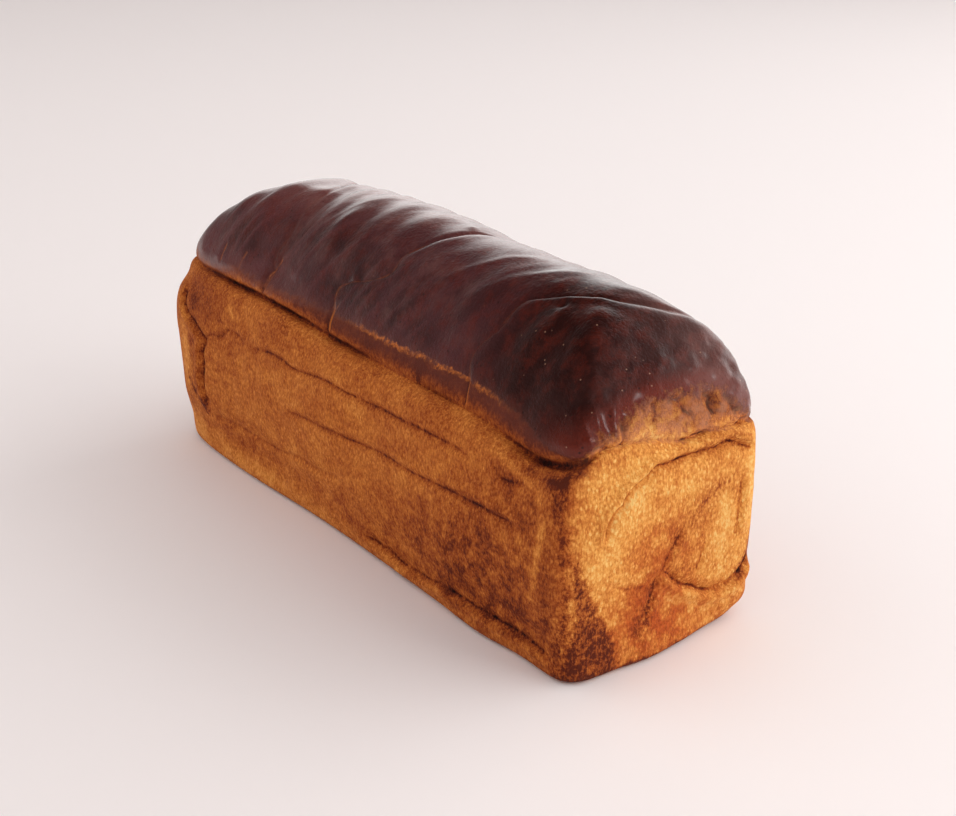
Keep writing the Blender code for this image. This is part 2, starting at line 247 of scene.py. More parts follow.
def loafForm(points):  # the net's places on the plain loaf, and the crack's height at each
    along, across, level = points.T
    halfLength, halfWidth = dome["length"] / 2, dome["width"] / 2
    onBody = level <= 1
    height = np.clip(level, 0, 1)
    up = np.clip(level - 1, 0, 1)
    cap = np.where(along > 0, dome["nearCap"], dome["farCap"])
    straight = 1 - cap / halfLength
    inCap = np.clip((np.abs(along) - straight) / (1 - straight), 0, 1) * np.sign(along)
    ledge = np.clip(height - body["ledgeFrom"], 0, 1) / (1 - body["ledgeFrom"])
    ledge = np.sqrt(np.clip(1 - ledge ** 2, 0, 1))
    corners = dome["corners"] + (body["corners"] - dome["corners"]) * np.where(onBody, ledge, 0)
    plan = np.maximum(np.abs(inCap), 1e-6) ** corners + np.maximum(np.abs(across), 1e-6) ** corners
    shrink = (plan ** (2 / corners) + up ** 2) ** -0.5
    endPart, sidePart = inCap * shrink, across * shrink
    upPart = (up * shrink) ** (2 / dome["haunch"])
    middle = np.sign(along) * np.minimum(np.abs(along) / straight, 1) * (halfLength - cap)
    x = middle + endPart * cap
    y = sidePart * halfWidth
    straightCrack = dome["crack"] - dome["crackFall"] * x / halfLength
    course = crackCourse(x, y, sidePart)
    crack = straightCrack + course
    z = (straightCrack + course * fade(up, dome["calm"], 0)) * height + dome["rise"] * upPart
    sideProud, endProud = wallProfile(x, y, sidePart, endPart, height, crack)
    y = y + np.where(onBody, sidePart * sideProud, 0)
    x = x + np.where(onBody, endPart * endProud, 0)
    return np.stack([x, y, z], axis=1), crack, onBody


# The dome: seams between the dough pieces, folds and puckers of the glazed crust. A noise is its
# size in mm along x, y and z, its seed and its layers; ridges add how sharp they are, and how far
# they are lowered. A range runs from nothing to full

glazedDome = {
    "fullRise": 12,              # the relief is full this far above the crack
    "seams": (  # course as (y, x), valley, groove, and how strongly drawn at the rim and higher up
        {"course": ((-46, -64), (-40, -64), (-36, -66), (-33, -64.5), (-21, -65.5), (-10, -65.5),
                    (24, -80), (46, -75)),
         "valley": 3.7, "valleySpread": 15.8, "groove": 0.7, "lip": 0.0, "power": (0.6, 0.15)},
        {"course": ((-46, -12), (-40.5, -13.2), (-36, -13.6), (-32, 4), (-22, 11), (-9, 21), (6, 28),
                    (20, 46), (46, 60)),
         "valley": 1.4, "valleySpread": 12, "groove": 1.0, "lip": 0.6, "power": (1.0, 0.5)},
        {"course": ((-46, 75.2), (-41, 75.2), (-38, 72), (-30, 78), (-19, 82), (-10, 99), (8, 113.6),
                    (30, 119.6), (46, 121.6)),
         "valley": 0.9, "valleySpread": 10, "groove": 1.0, "lip": 0.9, "power": (1.0, 0.2)},
    ),
    "seamSpread": 1.3,
    "seamRise": (0, 3),
    "seamLip": 4,                # how far beside the seam its lip stands, and how wide it is
    "wander": 0.6, "wanderNoise": ((9, 9, 9), 20, 2),
    "powerRise": (5, 15), "drawnRise": (0.6, 1.6), "drawnWithin": (4.5, 3),
    "backFrom": (-5, 15), "backLess": 0.7,
    "folds": (  # soft ridges over the dome: course as (y, x), height, spread, first and last y
        (((-40, 84), (-33, 90.3), (-24.3, 100), (-15, 110), (0, 118)), 0.4, 4.0, -38, -6),
        (((-40, 20), (-33, 32), (-24, 40), (-12, 52), (4, 66)), 0.5, 3.0, -36, 0),
        (((-40, 42), (-34, 50), (-24, 60), (-10, 74), (6, 90)), 0.5, 3.4, -38, 0),
        (((-42, -98), (-38, -97), (-30, -92), (-20, -86)), 0.5, 2.6, -41, -22),
        (((-42, -84), (-36, -82), (-26, -78), (-12, -72)), 0.4, 2.4, -41, -14),
        (((-42, -44), (-36, -42), (-26, -36), (-10, -26)), 0.5, 3.0, -40, -12),
    ),
    "foldStart": (-3, 5), "foldEnd": (6, -6),
    "marks": (  # small bumps and pits: x, y, radius, height
        (-6.1, -33.6, 2.4, 1.0), (96.5, -16.4, 1.5, -1.4), (99.5, -19.5, 2.6, 0.6),
        (30, -34, 1.6, 0.4), (60, -36, 1.8, 0.4), (-40, -34, 1.7, 0.4), (112, -28, 1.6, -0.4),
        (86, -10, 2.2, 0.5), (20, 4, 2.0, 0.5), (-30, 10, 2.4, 0.5), (52, 20, 2.0, 0.5),
    ),
    "ripple": 0.3, "rippleStretch": (1, 4, 4), "rippleWaves": (16, 11),
    "lean": (0.5, 0.35),         # puckers lean towards the near end as they go back and up
    "leanHeight": 100, "leanStray": 5, "leanNoise": ((40, 40, 40), 21, 1),
    "pucker": 0.40, "puckerRidges": (((6.5, 36, 36), 22, 1), 2.5, 0.35),
    "wrinkle": 0.13, "wrinkleRidges": (((2.8, 16, 16), 25, 2), 2, 0.4),
    "wrinkleRise": (4, 12), "wrinkleAlways": 0.35,
    "patchNoise": ((30, 24, 24), 23, 2), "patchFrom": (-0.7, 0.5),
    "finePatchNoise": ((16, 14, 14), 27, 2), "finePatchFrom": (-0.5, 0.7),
    "farFrom": (-130, -105), "nearFrom": (76, 92), "nearLess": 0.85,
    "gatheredRise": (5, 18), "topRise": (30, 42), "topLess": 0.6,
    "swell": 0.35, "swellNoise": ((20, 70, 70), 26, 1),
    "blister": 0.09, "blisterNoise": ((5, 7, 7), 24, 2),
    # painted shade in the low parts between the puckers, and a darker glaze on the near lobe
    "hollow": 1.3, "hollowBelow": 0.45, "nearHollow": 0.4, "nearHollowFrom": (84, 104),
}


def domeRelief(places, crack):
    look = glazedDome
    x, y, z = places.T
    rise = z - crack
    onDome = fade(rise, 0, look["fullRise"])
    relief = onDome * curveThrough(dome["crown"], x)
    wander = look["wander"] * lumps(places, *look["wanderNoise"])
    for seam in look["seams"]:
        distance = x - curveThrough(seam["course"], y)
        groove = seam["groove"] * bump(distance + wander, look["seamSpread"])
        relief -= onDome * seam["valley"] * bump(distance, seam["valleySpread"])
        relief -= fade(rise, *look["seamRise"]) * groove
        relief += onDome * seam["lip"] * bump(distance - look["seamLip"], look["seamLip"])
    for course, height, spread, first, last in look["folds"]:
        start, end = look["foldStart"], look["foldEnd"]
        held = fade(y, first + start[0], first + start[1]) * fade(y, last + end[0], last + end[1]) * onDome
        relief += held * height * bump(x - curveThrough(course, y) + wander, spread)
    for markX, markY, radius, height in look["marks"]:
        relief += onDome * height * bump(np.hypot(x - markX, y - markY), radius)
    relief += onDome * look["ripple"] * waves(places / look["rippleStretch"], *look["rippleWaves"])

    # Puckers: soft ridges across the loaf, gathered in patches
    course = x - look["lean"][0] * y - look["lean"][1] * (z - look["leanHeight"])
    course += look["leanStray"] * lumps(places, *look["leanNoise"])
    leaning = np.stack([course, y, z], axis=1)
    ridge = ridges(leaning, *look["puckerRidges"])
    wrinkle = ridges(leaning, *look["wrinkleRidges"])
    patch = fade(lumps(places, *look["patchNoise"]), *look["patchFrom"])
    finePatch = fade(lumps(places, *look["finePatchNoise"]), *look["finePatchFrom"])
    alongLoaf = fade(x, *look["farFrom"]) * (1 - look["nearLess"] * fade(x, *look["nearFrom"]))
    gathered = fade(rise, *look["gatheredRise"]) * alongLoaf
    gathered = gathered * (1 - look["topLess"] * fade(rise, *look["topRise"]))
    relief += gathered * look["pucker"] * patch * ridge
    wrinkled = look["wrinkleAlways"] + (1 - look["wrinkleAlways"]) * alongLoaf
    relief += fade(rise, *look["wrinkleRise"]) * wrinkled * look["wrinkle"] * finePatch * wrinkle
    relief += gathered * look["swell"] * lumps(leaning, *look["swellNoise"])
    relief += onDome * look["blister"] * lumps(places, *look["blisterNoise"])
    # Painted shade: the glaze is darkened in the low parts between the puckers; the near lobe is darkened as
    # well
    hollow = look["hollow"] * gathered * patch * np.clip(look["hollowBelow"] - ridge, 0, 1)
    hollow += look["nearHollow"] * fade(x, *look["nearHollowFrom"]) * onDome
    return relief, np.clip(hollow, 0, 1)


def seamLines(places, crack):  # the distance to the nearest seam, and how strongly it is drawn
    look = glazedDome
    rise = places[:, 2] - crack
    side = np.full(len(places), creaseLook["unreached"])
    power = np.zeros(len(places))
    for seam in look["seams"]:
        distance = places[:, 0] - curveThrough(seam["course"], places[:, 1])
        closer = np.abs(distance) < np.abs(side)
        side[closer] = distance[closer]
        low, high = seam["power"]
        power[closer] = (low + (high - low) * fade(rise, *look["powerRise"]))[closer]
    power *= fade(rise, *look["drawnRise"]) * fade(np.abs(side), *look["drawnWithin"])
    return side, power * (1 - look["backLess"] * fade(places[:, 1], *look["backFrom"]))


# The crack at the tin's rim, and the crust that hangs over it

rimCrack = {
    "wide": 0.6, "wideSpread": 2.0,
    "gap": 1.7, "gapSpread": 0.85,
    "overhang": 0.8, "overhangRise": 5.5, "overhangSpread": 4.2,
    "front": ((-137, 0.3), (-124, 0.4), (-106, 0.7), (-76, 1.0), (-55, 1.0), (-30, 0.9), (-22, 0.6),
              (-10, 0.9), (6, 0.8), (20, 0.35), (60, 0.3), (95, 0.4), (110, 0.9), (120, 1.0),
              (137, 0.6)),
    "back": 0.8,
    "end": 0.35,
    "facing": 0.6,
    "stray": 0.35, "strayNoise": ((7, 7, 60), 31, 2),
    "uneven": 0.5, "unevenNoise": ((13, 13, 60), 32, 2),
}


def crackRelief(places, crack, normals):
    look = rimCrack
    strength = np.full(len(places), look["back"])
    strength = np.where(normals[:, 1] < -look["facing"], curveThrough(look["front"], places[:, 0]), strength)
    strength = np.where(np.abs(normals[:, 0]) > look["facing"], look["end"], strength)
    rise = places[:, 2] - crack + look["stray"] * lumps(places, *look["strayNoise"])
    relief = -look["wide"] * bump(rise, look["wideSpread"])
    relief -= look["gap"] * bump(rise, look["gapSpread"])
    hang = look["overhang"] * (1 + look["uneven"] * lumps(places, *look["unevenNoise"]))
    relief += hang * bump(rise - look["overhangRise"], look["overhangSpread"]) * (rise > 0)
    return strength * relief, strength


# Creases and folds of each wall: layer of lines, depth, spread, lip, power, and the line as
# (place along the wall, height). The lip lifts the wall on the line's left as it runs, or on
# its right where it is negative

creases = {
    "front": (
        (0, 0.6, 1.3, 0.2, 0.45, ((-105, 56), (-98, 59.5), (-92, 60.6), (-88.5, 62), (-84, 65.5),
         (-76, 65), (-70, 63.2))),
        (2, 1.0, 1.5, 0.35, 1.0, ((-68, 63), (-60, 63.5), (-50, 65.8), (-40, 66), (-31, 64.8),
         (-6, 66.8), (16, 66.5), (44, 67.6), (60, 68.2), (74, 68.4), (90, 67.4))),
        (0, 0.6, 1.3, 0.1, 0.7, ((103, 65.6), (110, 66.3), (115, 67.8))),
        (0, 0.9, 1.5, 0.3, 0.9, ((-36, 45.4), (-3, 47.8), (13, 48.2), (32, 49.9), (53, 50.2),
         (76, 51.8), (102, 52.4), (118, 52.2))),
        (0, 0.9, 1.8, -0.3, 0.45, ((-104, 21), (-90, 21.8), (-76, 21.7), (-61.5, 21.9), (-46, 22.7),
         (-32, 25.6), (-7, 26.8), (5, 28.4))),
        (0, 1.3, 1.6, -1.1, 1.0, ((14, 9), (24, 8.2), (42, 6.9), (57, 8.5), (69, 10.3), (84, 10.4),
         (100, 10.2), (120, 9.9), (131, 8.9))),
        (1, 2.2, 2.0, -0.9, 0.95, ((-123, 75), (-124.8, 69.6), (-121.6, 64), (-114.5, 61.5),
         (-108.5, 58.5), (-103.6, 55.3), (-106.7, 50.8), (-106.7, 45.3), (-108.2, 33), (-107, 28),
         (-102, 26))),
    ),
    "back": (
        (0, 0.9, 1.6, 0.3, 0.8, ((-104, 55), (-92, 58.5), (-76, 59), (-58, 62.4), (-36, 60.6),
         (-14, 61.8), (2, 60.2), (22, 62.6), (41, 64.8), (58, 64))),
        (2, 0.7, 1.5, 0.2, 0.6, ((66, 70), (80, 68), (92, 69.4), (108, 66))),
        (0, 0.8, 1.6, 0.3, 0.7, ((-58, 38), (-40, 35.4), (-21, 35.8), (0, 33), (18, 34.2), (44, 36.8),
         (70, 36), (92, 38.6))),
        (2, 0.8, 1.8, -0.3, 0.45, ((-110, 22), (-86, 24.5), (-66, 22.8), (-44, 24))),
        (0, 1.2, 1.5, -1.0, 0.9, ((-118, 11.5), (-96, 9.4), (-60, 7.8), (-30, 9.2), (-10, 10.2),
         (20, 8.4), (45, 7.6), (72, 9.8), (100, 8.8), (122, 10.6))),
    ),
    "near": (
        (0, 2.4, 1.7, -1.7, 1.0, ((38, 66.5), (33.2, 67.5), (28.7, 70), (22.4, 72.3), (19.2, 71.2),
         (11, 71.9), (1.6, 72), (-3.6, 71.5), (-10.6, 72.1), (-15.1, 69.4), (-21.2, 66.9), (-24, 64.8),
         (-24.8, 62.6), (-28.9, 61), (-31, 57), (-31.6, 50))),
        (1, 2.2, 1.7, -1.6, 1.0, ((-5.2, 32.4), (-1.5, 29.4), (1.2, 26.6), (5.1, 23.5), (9.9, 21.2),
         (15.6, 17.8), (20.5, 16.2), (25.3, 15.9), (29.2, 16.6), (33, 18.1), (37.3, 20.7),
         (38.5, 25.5))),
        (2, 0.8, 1.6, 0.7, 0.5, ((3.6, 46), (-0.4, 40), (-3, 36.5), (-5, 32), (-9, 28.8), (-10, 24),
         (-11.8, 20.6), (-14.5, 17.5))),
        (1, 0.6, 1.6, 0.3, 0.45, ((-10, 28.6), (-20, 29.9), (-29.3, 33.9))),
        (2, 0.9, 1.8, 0.6, 0.6, ((31.5, 57), (30.6, 50.3), (30, 43.9), (29.5, 35))),
        (0, 0.5, 1.2, 0.2, 0.6, ((14.5, 38), (13.5, 35.5), (12.4, 31), (11, 27))),
    ),
    "far": (
        (0, 1.5, 1.7, 0.8, 0.8, ((39, 50), (36, 59), (27, 63.5), (14, 66), (2, 69.4), (-10, 70),
         (-19, 67.2), (-31, 69))),
        (1, 1.8, 1.8, -1.1, 0.9, ((-26, 41), (-17, 37.5), (-9, 33), (1, 27.4), (9, 22), (21, 19.6),
         (31, 21.4))),
        (2, 1.1, 1.6, 0.6, 0.8, ((-9, 50), (-6.4, 42), (-9.6, 33.4), (-13, 25), (-14.6, 17))),
        (0, 1.0, 1.5, -0.8, 0.8, ((-34, 9), (-18, 7.6), (-2, 9.2), (15, 7.8), (33, 9.4))),
    ),
    "band": (
        (1, 0.9, 1.2, 0.4, 1.0, ((-64.6, 86), (-64, 90), (-65, 94), (-62.5, 98), (-61, 102))),
        (1, 0.6, 1.0, 0.3, 0.8, ((-99.5, 90), (-99, 94), (-98, 99))),
        (1, 0.5, 1.0, 0.2, 0.6, ((-84, 90), (-83.5, 94), (-82, 99))),
        (2, 0.7, 1.3, 0.5, 0.9, ((-10.5, 84), (-11.4, 88), (-11, 92), (-9.5, 96))),
    ),
    "nearDome": (
        (1, 1.1, 1.0, 0.4, 1.0, ((-24.5, 92), (-23, 88), (-23.5, 84), (-24.5, 81))),
        (1, 0.9, 1.0, 0.3, 0.9, ((-9, 93.5), (-8.4, 90), (-9.5, 86.5))),
        (1, 0.8, 1.0, 0.3, 0.9, ((-3, 92), (2, 91.4), (4, 88), (7.5, 85))),
        (1, 1.2, 1.1, 0.5, 1.0, ((14, 91), (17.5, 89), (16.4, 86), (17.6, 83.5))),
        (2, 1.1, 1.1, 0.6, 1.0, ((1, 79), (4.6, 77.3), (8, 78.3), (12.9, 77.4), (17, 76), (20.3, 75.2),
         (27.5, 75.6), (31, 78), (36, 77.6))),
        (1, 0.8, 1.0, 0.3, 0.8, ((22, 89), (25, 86.5), (27, 83), (31, 82))),
        (1, 0.7, 1.0, 0.4, 0.7, ((-36.5, 83), (-33, 84.2), (-29, 83.2), (-27, 85.5))),
    ),
}

creaseLook = {
    "unreached": 20.0,           # the distance given to points that no line reaches
    "elsewhere": 50,             # the distance that a point off the line's wall counts as
    "wander": 0.3, "wanderNoise": ((8, 8, 8), 44, 2),
    "ends": 0.07,                # the share of a line over which it dies out
    "footRise": (0.5, 3),
    "lipPlace": 2.6, "lipSpread": 2.4,
    "drawnWithin": (4.5, 3.0),
}

bodySkin = {
    "wave": 0.45, "waveLength": (45, 5),
    "lump": 0.28, "lumpNoise": ((15, 15, 15), 41, 2),
    "dimple": 0.15, "dimpleNoise": ((4.5, 4.5, 6), 42, 2),
    "footLump": 1.0, "footLumpNoise": ((8, 8, 40), 43, 2), "footLumpHeight": 9,
    "from": (3, 9),              # the underside stays flat
}

wallFrames = {  # along-wall places: the corners are unrolled, with 0 at the edge
    "walls": {"front": (1, -1), "back": (1, 1), "near": (0, 1), "far": (0, -1)},
    "wallFacing": (0.45, 0.75),
    "cornerStart": 90, "rightCornerStart": -95, "cornerFacing": (0.5, 0.8),
    "bandFacing": (0.1, 0.4), "nearDomeFrom": (118, 126),
}


def wallPlace(wall, places, normals, onWall):  # place along the wall, and how much it belongs there
    look = wallFrames
    x, y = places[:, 0], places[:, 1]
    if wall == "corner":
        belongs = onWall * fade(normals[:, 0] - normals[:, 1], *look["cornerFacing"])
        return x + y - look["cornerStart"], belongs
    if wall == "rightCorner":
        belongs = onWall * fade(normals[:, 0] + normals[:, 1], *look["cornerFacing"])
        return y - x - look["rightCornerStart"], belongs
    if wall == "band":
        return x, ~onWall * fade(-normals[:, 1], *look["bandFacing"])
    if wall == "nearDome":
        return y, ~onWall * fade(x, *look["nearDomeFrom"])
    axis, sign = look["walls"][wall]
    return places[:, 1 - axis], onWall * fade(normals[:, axis] * sign, *look["wallFacing"])


def wallRelief(places):
    look, z = bodySkin, places[:, 2]
    relief = look["wave"] * waves(places, *look["waveLength"])
    relief += look["lump"] * lumps(places, *look["lumpNoise"])
    relief += look["dimple"] * lumps(places, *look["dimpleNoise"])
    relief += look["footLump"] * bump(z, look["footLumpHeight"]) * lumps(places, *look["footLumpNoise"])
    return relief * fade(z, *look["from"])


def creaseRelief(places, normals, onWall):
    look, z = creaseLook, places[:, 2]
    relief = np.zeros(len(places))
    sides = np.full((len(places), 3), look["unreached"])
    powers = np.zeros((len(places), 3))
    wander = look["wander"] * lumps(places, *look["wanderNoise"])
    for wall, rows in creases.items():
        across, belongs = wallPlace(wall, places, normals, onWall)
        for layer, depth, spread, lip, power, line in rows:
            offset, travel = offsetFromLine(across, z, line)
            offset = offset + wander
            gap = np.abs(offset)
            ends = fade(travel, 0, look["ends"]) * fade(travel, 1, 1 - look["ends"])
            hold = ends * belongs * fade(z, *look["footRise"])
            relief -= hold * depth * bump(offset, spread)
            lipped = bump(offset - look["lipPlace"] * np.sign(lip), look["lipSpread"])
            relief += hold * abs(lip) * lipped
            strength = power * hold * fade(gap, *look["drawnWithin"])
            closer = gap * belongs + look["elsewhere"] * (1 - belongs) < np.abs(sides[:, layer])
            sides[closer, layer] = offset[closer]
            powers[closer, layer] = strength[closer]
    return relief, sides, powers


# Soft spots of colour, by kind and wall: (place, height, half width, half height, amount)

spots = {
    ("scorch", "front"): ((-108, 74, 17, 9, 0.16), (-122, 20, 5, 7, 0.15)),
    ("ruddy", "front"): (
        (95, 26, 45, 22, 0.9), (105, 45, 26, 24, 0.35), (40, 12, 70, 12, 0.5), (-113, 48, 5, 24, 0.7),
        (-75, 14, 40, 5, 0.5), (-85, 50, 30, 18, 0.25), (118, 66, 12, 14, 0.5),
    ),
    ("pale", "front"): (
        (-60, 4, 60, 8, 0.5), (-122, 45, 5, 22, 0.5), (-124, 12, 12, 9, 0.35), (40, 3, 40, 6, 0.35),
    ),
    ("ruddy", "corner"): ((0, 60, 6, 26, 0.45),),
    ("scorch", "corner"): ((-8, 30, 5, 20, 0.08), (-10, 74, 7, 4, 0.18), (6, 79, 6, 3.5, 0.18)),
    ("scorch", "near"): (
        (-6, 31, 5, 6, 0.05), (2, 40, 8, 9, 0.05), (9, 49, 9, 7, 0.07), (20, 56, 10, 6, 0.08),
        (-30, 78, 7, 4, 0.02), (24, 74.5, 12, 3, 0.06),
    ),
    ("ruddy", "rightCorner"): ((-2, 12, 9, 12, 0.5),),
    ("ruddy", "near"): (
        (12, 62, 22, 7, 0.15), (8, 38, 24, 12, 0.35), (-6, 8, 40, 12, 0.85), (-12, 22, 18, 12, 0.9),
        (-8, 43, 12, 14, 0.4),
    ),
    ("pale", "near"): (
        (-20, 60, 10, 14, 0.4), (14, 62, 22, 8, 0.25), (23, 42, 6, 14, 0.35), (-4, 75, 16, 4, 0.2),
        (37, 50, 4, 30, 0.6), (26, 12, 16, 10, 0.3),
    ),
    ("scorch", "nearDome"): ((24, 84, 13, 8, 0.13), (-33, 86, 5, 6, 0.05), (5, 89, 8, 4, 0.08)),
    ("pale", "nearDome"): ((-10, 84, 13, 8, 0.45),),
    ("ruddy", "back"): ((-95, 40, 26, 34, 0.7), (-10, 10, 70, 12, 0.8), (60, 24, 40, 18, 0.5)),
    ("scorch", "back"): ((20, 76, 22, 6, 0.1), (-70, 74, 14, 7, 0.12)),
    ("pale", "back"): ((10, 48, 34, 12, 0.3), (95, 60, 20, 18, 0.35), (-50, 54, 14, 10, 0.25)),
    ("ruddy", "far"): ((20, 22, 26, 18, 0.8), (-30, 60, 14, 22, 0.6), (0, 6, 50, 9, 0.9)),
    ("pale", "far"): ((-4, 50, 18, 16, 0.4),),
    ("scorch", "far"): ((32, 74, 14, 6, 0.14), (-8, 33, 8, 6, 0.12)),
}

# Patches and strokes with an edge, by kind and wall: lines of (place, height, radius)

patches = {
    ("burnt", "corner"): (
        ((4.6, 47, 0.8), (5.4, 40, 1.8), (6.4, 36, 2.6), (8, 31, 4.4), (9.4, 26, 6.4), (10.5, 19, 9),
         (11, 11, 11.5), (11, 3, 12.5)),
        ((-15, 75.5, 1.2), (-9, 76.5, 2.2), (-2, 76.5, 2.2), (-3, 72, 1.4)),
        ((-1.6, 50, 0.2), (-1.4, 48, 1.2), (-2, 46, 0.2)),
    ),
    ("brown", "corner"): (
        ((-7, 73, 2.6), (-5, 66, 1.8), (-3, 60, 1.2), (-1, 54, 1.6), (0.5, 50, 2.0), (1, 42, 2.8),
         (1, 30, 4.6), (1, 15, 8), (2, 3, 9)),
    ),
    ("burnt", "rightCorner"): (
        ((-13, 17.5, 0.8), (-9, 19.8, 2.6), (-5, 23, 3.6), (-2, 28, 3.2), (0, 35, 1.8)),
    ),
    ("burnt", "near"): (((-22, 0, 2), (-10, 0, 1.4), (0, 0, 1.0), (35, 0.5, 0.6)),),
    ("brown", "near"): (
        ((29, 60, 0.4), (18, 56, 1.2), (11, 52, 1.4), (6.8, 47.6, 1.2), (1.5, 45, 0.8), (-0.2, 40, 1.0),
         (-3, 35, 0.8)),
        ((-3, 33, 0.4), (3, 30, 1.4), (9, 27, 0.8)),
        # painted shade: a thin brown strip along the upper side of the panel crease
        ((-6, 74, 0.2), (0, 73.8, 0.8), (9, 73.6, 0.6), (18, 73, 1.0), (28, 71.5, 0.8)),
        ((-10, 27, 1.5), (-12, 20, 3), (-16, 14, 3.5)),
    ),
    ("pale", "near"): (
        # painted highlight: a pale strip along the lit lower side of the panel crease
        ((-30, 50, 0.1), (-28, 57, 0.7), (-22, 63, 0.8), (-15, 66.6, 0.4)),
        ((-8.5, 27, 1.0), (-5.5, 23.5, 2.2), (-2, 21, 2.2), (6, 17, 1.8), (10, 14, 1)),
    ),
    ("burnt", "front"): (
        ((-119.9, 33.2, 0.9), (-116.5, 29.4, 1.2), (-113, 26, 0.8)),
        ((-109.5, 25, 1.8), (-107, 23, 2.2)),
        ((-124, 70, 0.9), (-122.5, 65, 0.8)),
    ),
    ("brown", "front"): (((-41.2, 81.2, 1.0), (-36.5, 78, 1.5)),),
    ("pale", "front"): (
        ((-85, 76, 0.8), (-81, 72, 1.6)),
        ((99, 73.6, 0.6), (111, 70.6, 1.0), (120.6, 67.4, 1.5), (125.5, 59.5, 1.6), (125.5, 45.2, 1.3),
         (122.5, 28.7, 0.6)),
    ),
    ("pale", "corner"): (
        ((1.0, 44.5, 1.0), (1.3, 41.5, 1.2)),
        ((2.3, 32.5, 1.4), (2.1, 30.3, 1.6)),
        ((-5, 26, 1.4), (-4.4, 21, 1.6)),
        ((-0.8, 14.4, 1.6), (-0.4, 13.8, 1.6)),
    ),
    ("burnt", "band"): (((45.6, 90.5, 1.6), (46.8, 88, 2.2), (48.1, 84.5, 1.8)),),
    ("brown", "back"): (
        ((-120, 12, 6), (-112, 30, 4), (-118, 52, 3)),
        ((70, 79, 2), (84, 77, 3.5), (98, 78.5, 2)),
    ),
    ("pale", "back"): (((-20, 70, 1.2), (-12, 66, 1.8), (-6, 65, 0.8)),),
    ("burnt", "far"): (
        ((42, 4, 5), (41, 16, 3.5), (43, 30, 1.5)),
        ((-30, 0, 2), (0, 0, 1.4), (30, 0.5, 2)),
    ),
    ("brown", "far"): (((-14, 40, 2), (-8, 34, 3.5), (2, 29, 2.5), (8, 20, 1.5)),),
}

stainLook = {
    "foot": 0.09, "footRise": (4.5, 0.5),
    "farCorner": (0.1, 0.6), "farRuddy": 0.9, "farScorch": 0.10, "farScorchRise": (60, 10),
    "outside": -20.0,            # the depth given to points that no patch reaches
}


def stains(places, normals, onWall):
    look, z = stainLook, places[:, 2]
    amount = {kind: np.zeros(len(z)) for kind in ("scorch", "pale", "ruddy")}
    for (kind, wall), rows in spots.items():
        across, belongs = wallPlace(wall, places, normals, onWall)
        for place, height, halfWidth, halfHeight, strength in rows:
            distance = np.hypot((across - place) / halfWidth, (z - height) / halfHeight)
            amount[kind] += strength * belongs * bump(distance, 1)
    amount["scorch"] += look["foot"] * fade(z, *look["footRise"])
    farCorner = fade(np.minimum(-normals[:, 0], normals[:, 1]), *look["farCorner"]) * onWall
    amount["ruddy"] += look["farRuddy"] * farCorner
    amount["scorch"] += look["farScorch"] * farCorner * fade(z, *look["farScorchRise"])
    depth = {kind: np.full(len(z), look["outside"]) for kind in ("burnt", "brown", "pale")}
    for (kind, wall), lines in patches.items():  # how deep inside the patch, in mm
        across, belongs = wallPlace(wall, places, normals, onWall)
        for points in lines:
            offset, travel = offsetFromLine(across, z, [point[:2] for point in points])
            radius = np.interp(travel, np.linspace(0, 1, len(points)), [point[2] for point in points])
            inside = radius - np.abs(offset) + look["outside"] * (1 - belongs)
            depth[kind] = np.maximum(depth[kind], inside)
    return np.stack(list(amount.values()), axis=1), np.stack(list(depth.values()), axis=1)


# Where the dark glaze ends above the crack, as (place, height above the table)

glazeEdge = {
    "front": ((-137, 90), (-100, 88), (-88, 90.4), (-65, 89.1), (-32, 90.7), (-20, 90.7), (12, 90.6),
              (27, 90), (70, 90), (80, 89.6), (89, 88.5), (98, 87.6), (109, 85), (120, 81)),
    "back": ((-137, 89), (-112, 91.5), (-90, 89), (-62, 92.5), (-35, 90), (-8, 88), (20, 91), (48, 89.5),
             (72, 86.5), (100, 88), (120, 84)),
    "far": ((-43, 89), (-35, 92.5), (-27, 90), (-20, 88), (-11, 93), (-3, 95.5), (5, 91.5), (14, 88.5),
            (21, 92), (30, 96), (38, 92), (43, 89)),
    "near": ((-43, 79), (-38, 80.5), (-36, 83.5), (-32.4, 86), (-25.6, 88), (-19.2, 90.8), (-10.5, 93.5),
             (-3.6, 93.5), (5.7, 92.4), (15.3, 91.9), (21.8, 89.6), (29.6, 83.7), (36, 78.5), (42, 77)),
    "tear": ((-41, 77.5), (-35, 81.9), (-24.5, 82.5), (-11.6, 80.9), (4.6, 76.7), (15, 77.6),
             (24.5, 76.3), (31, 77.4), (39.5, 73.4)),
    "nearFrom": (124, 134), "backFrom": (-5, 20), "farFrom": (-118, -130),
}


def heights(places, crack):  # above the crack, the glaze's edge and the torn crust's edge
    look = glazeEdge
    x, y, z = places.T
    atNear, atBack, atFar = fade(x, *look["nearFrom"]), fade(y, *look["backFrom"]), fade(x, *look["farFrom"])
    edge = curveThrough(look["front"], x) * (1 - atBack) + curveThrough(look["back"], x) * atBack
    edge = edge * (1 - atFar) + curveThrough(look["far"], y) * atFar
    edge = edge * (1 - atNear) + curveThrough(look["near"], y) * atNear
    tear = crack * (1 - atNear) + curveThrough(look["tear"], y) * atNear
    return np.stack([z - crack, z - edge, z - tear], axis=1)


# The dome's near end: the glazed crust stands proud of the torn, fibrous crust below it

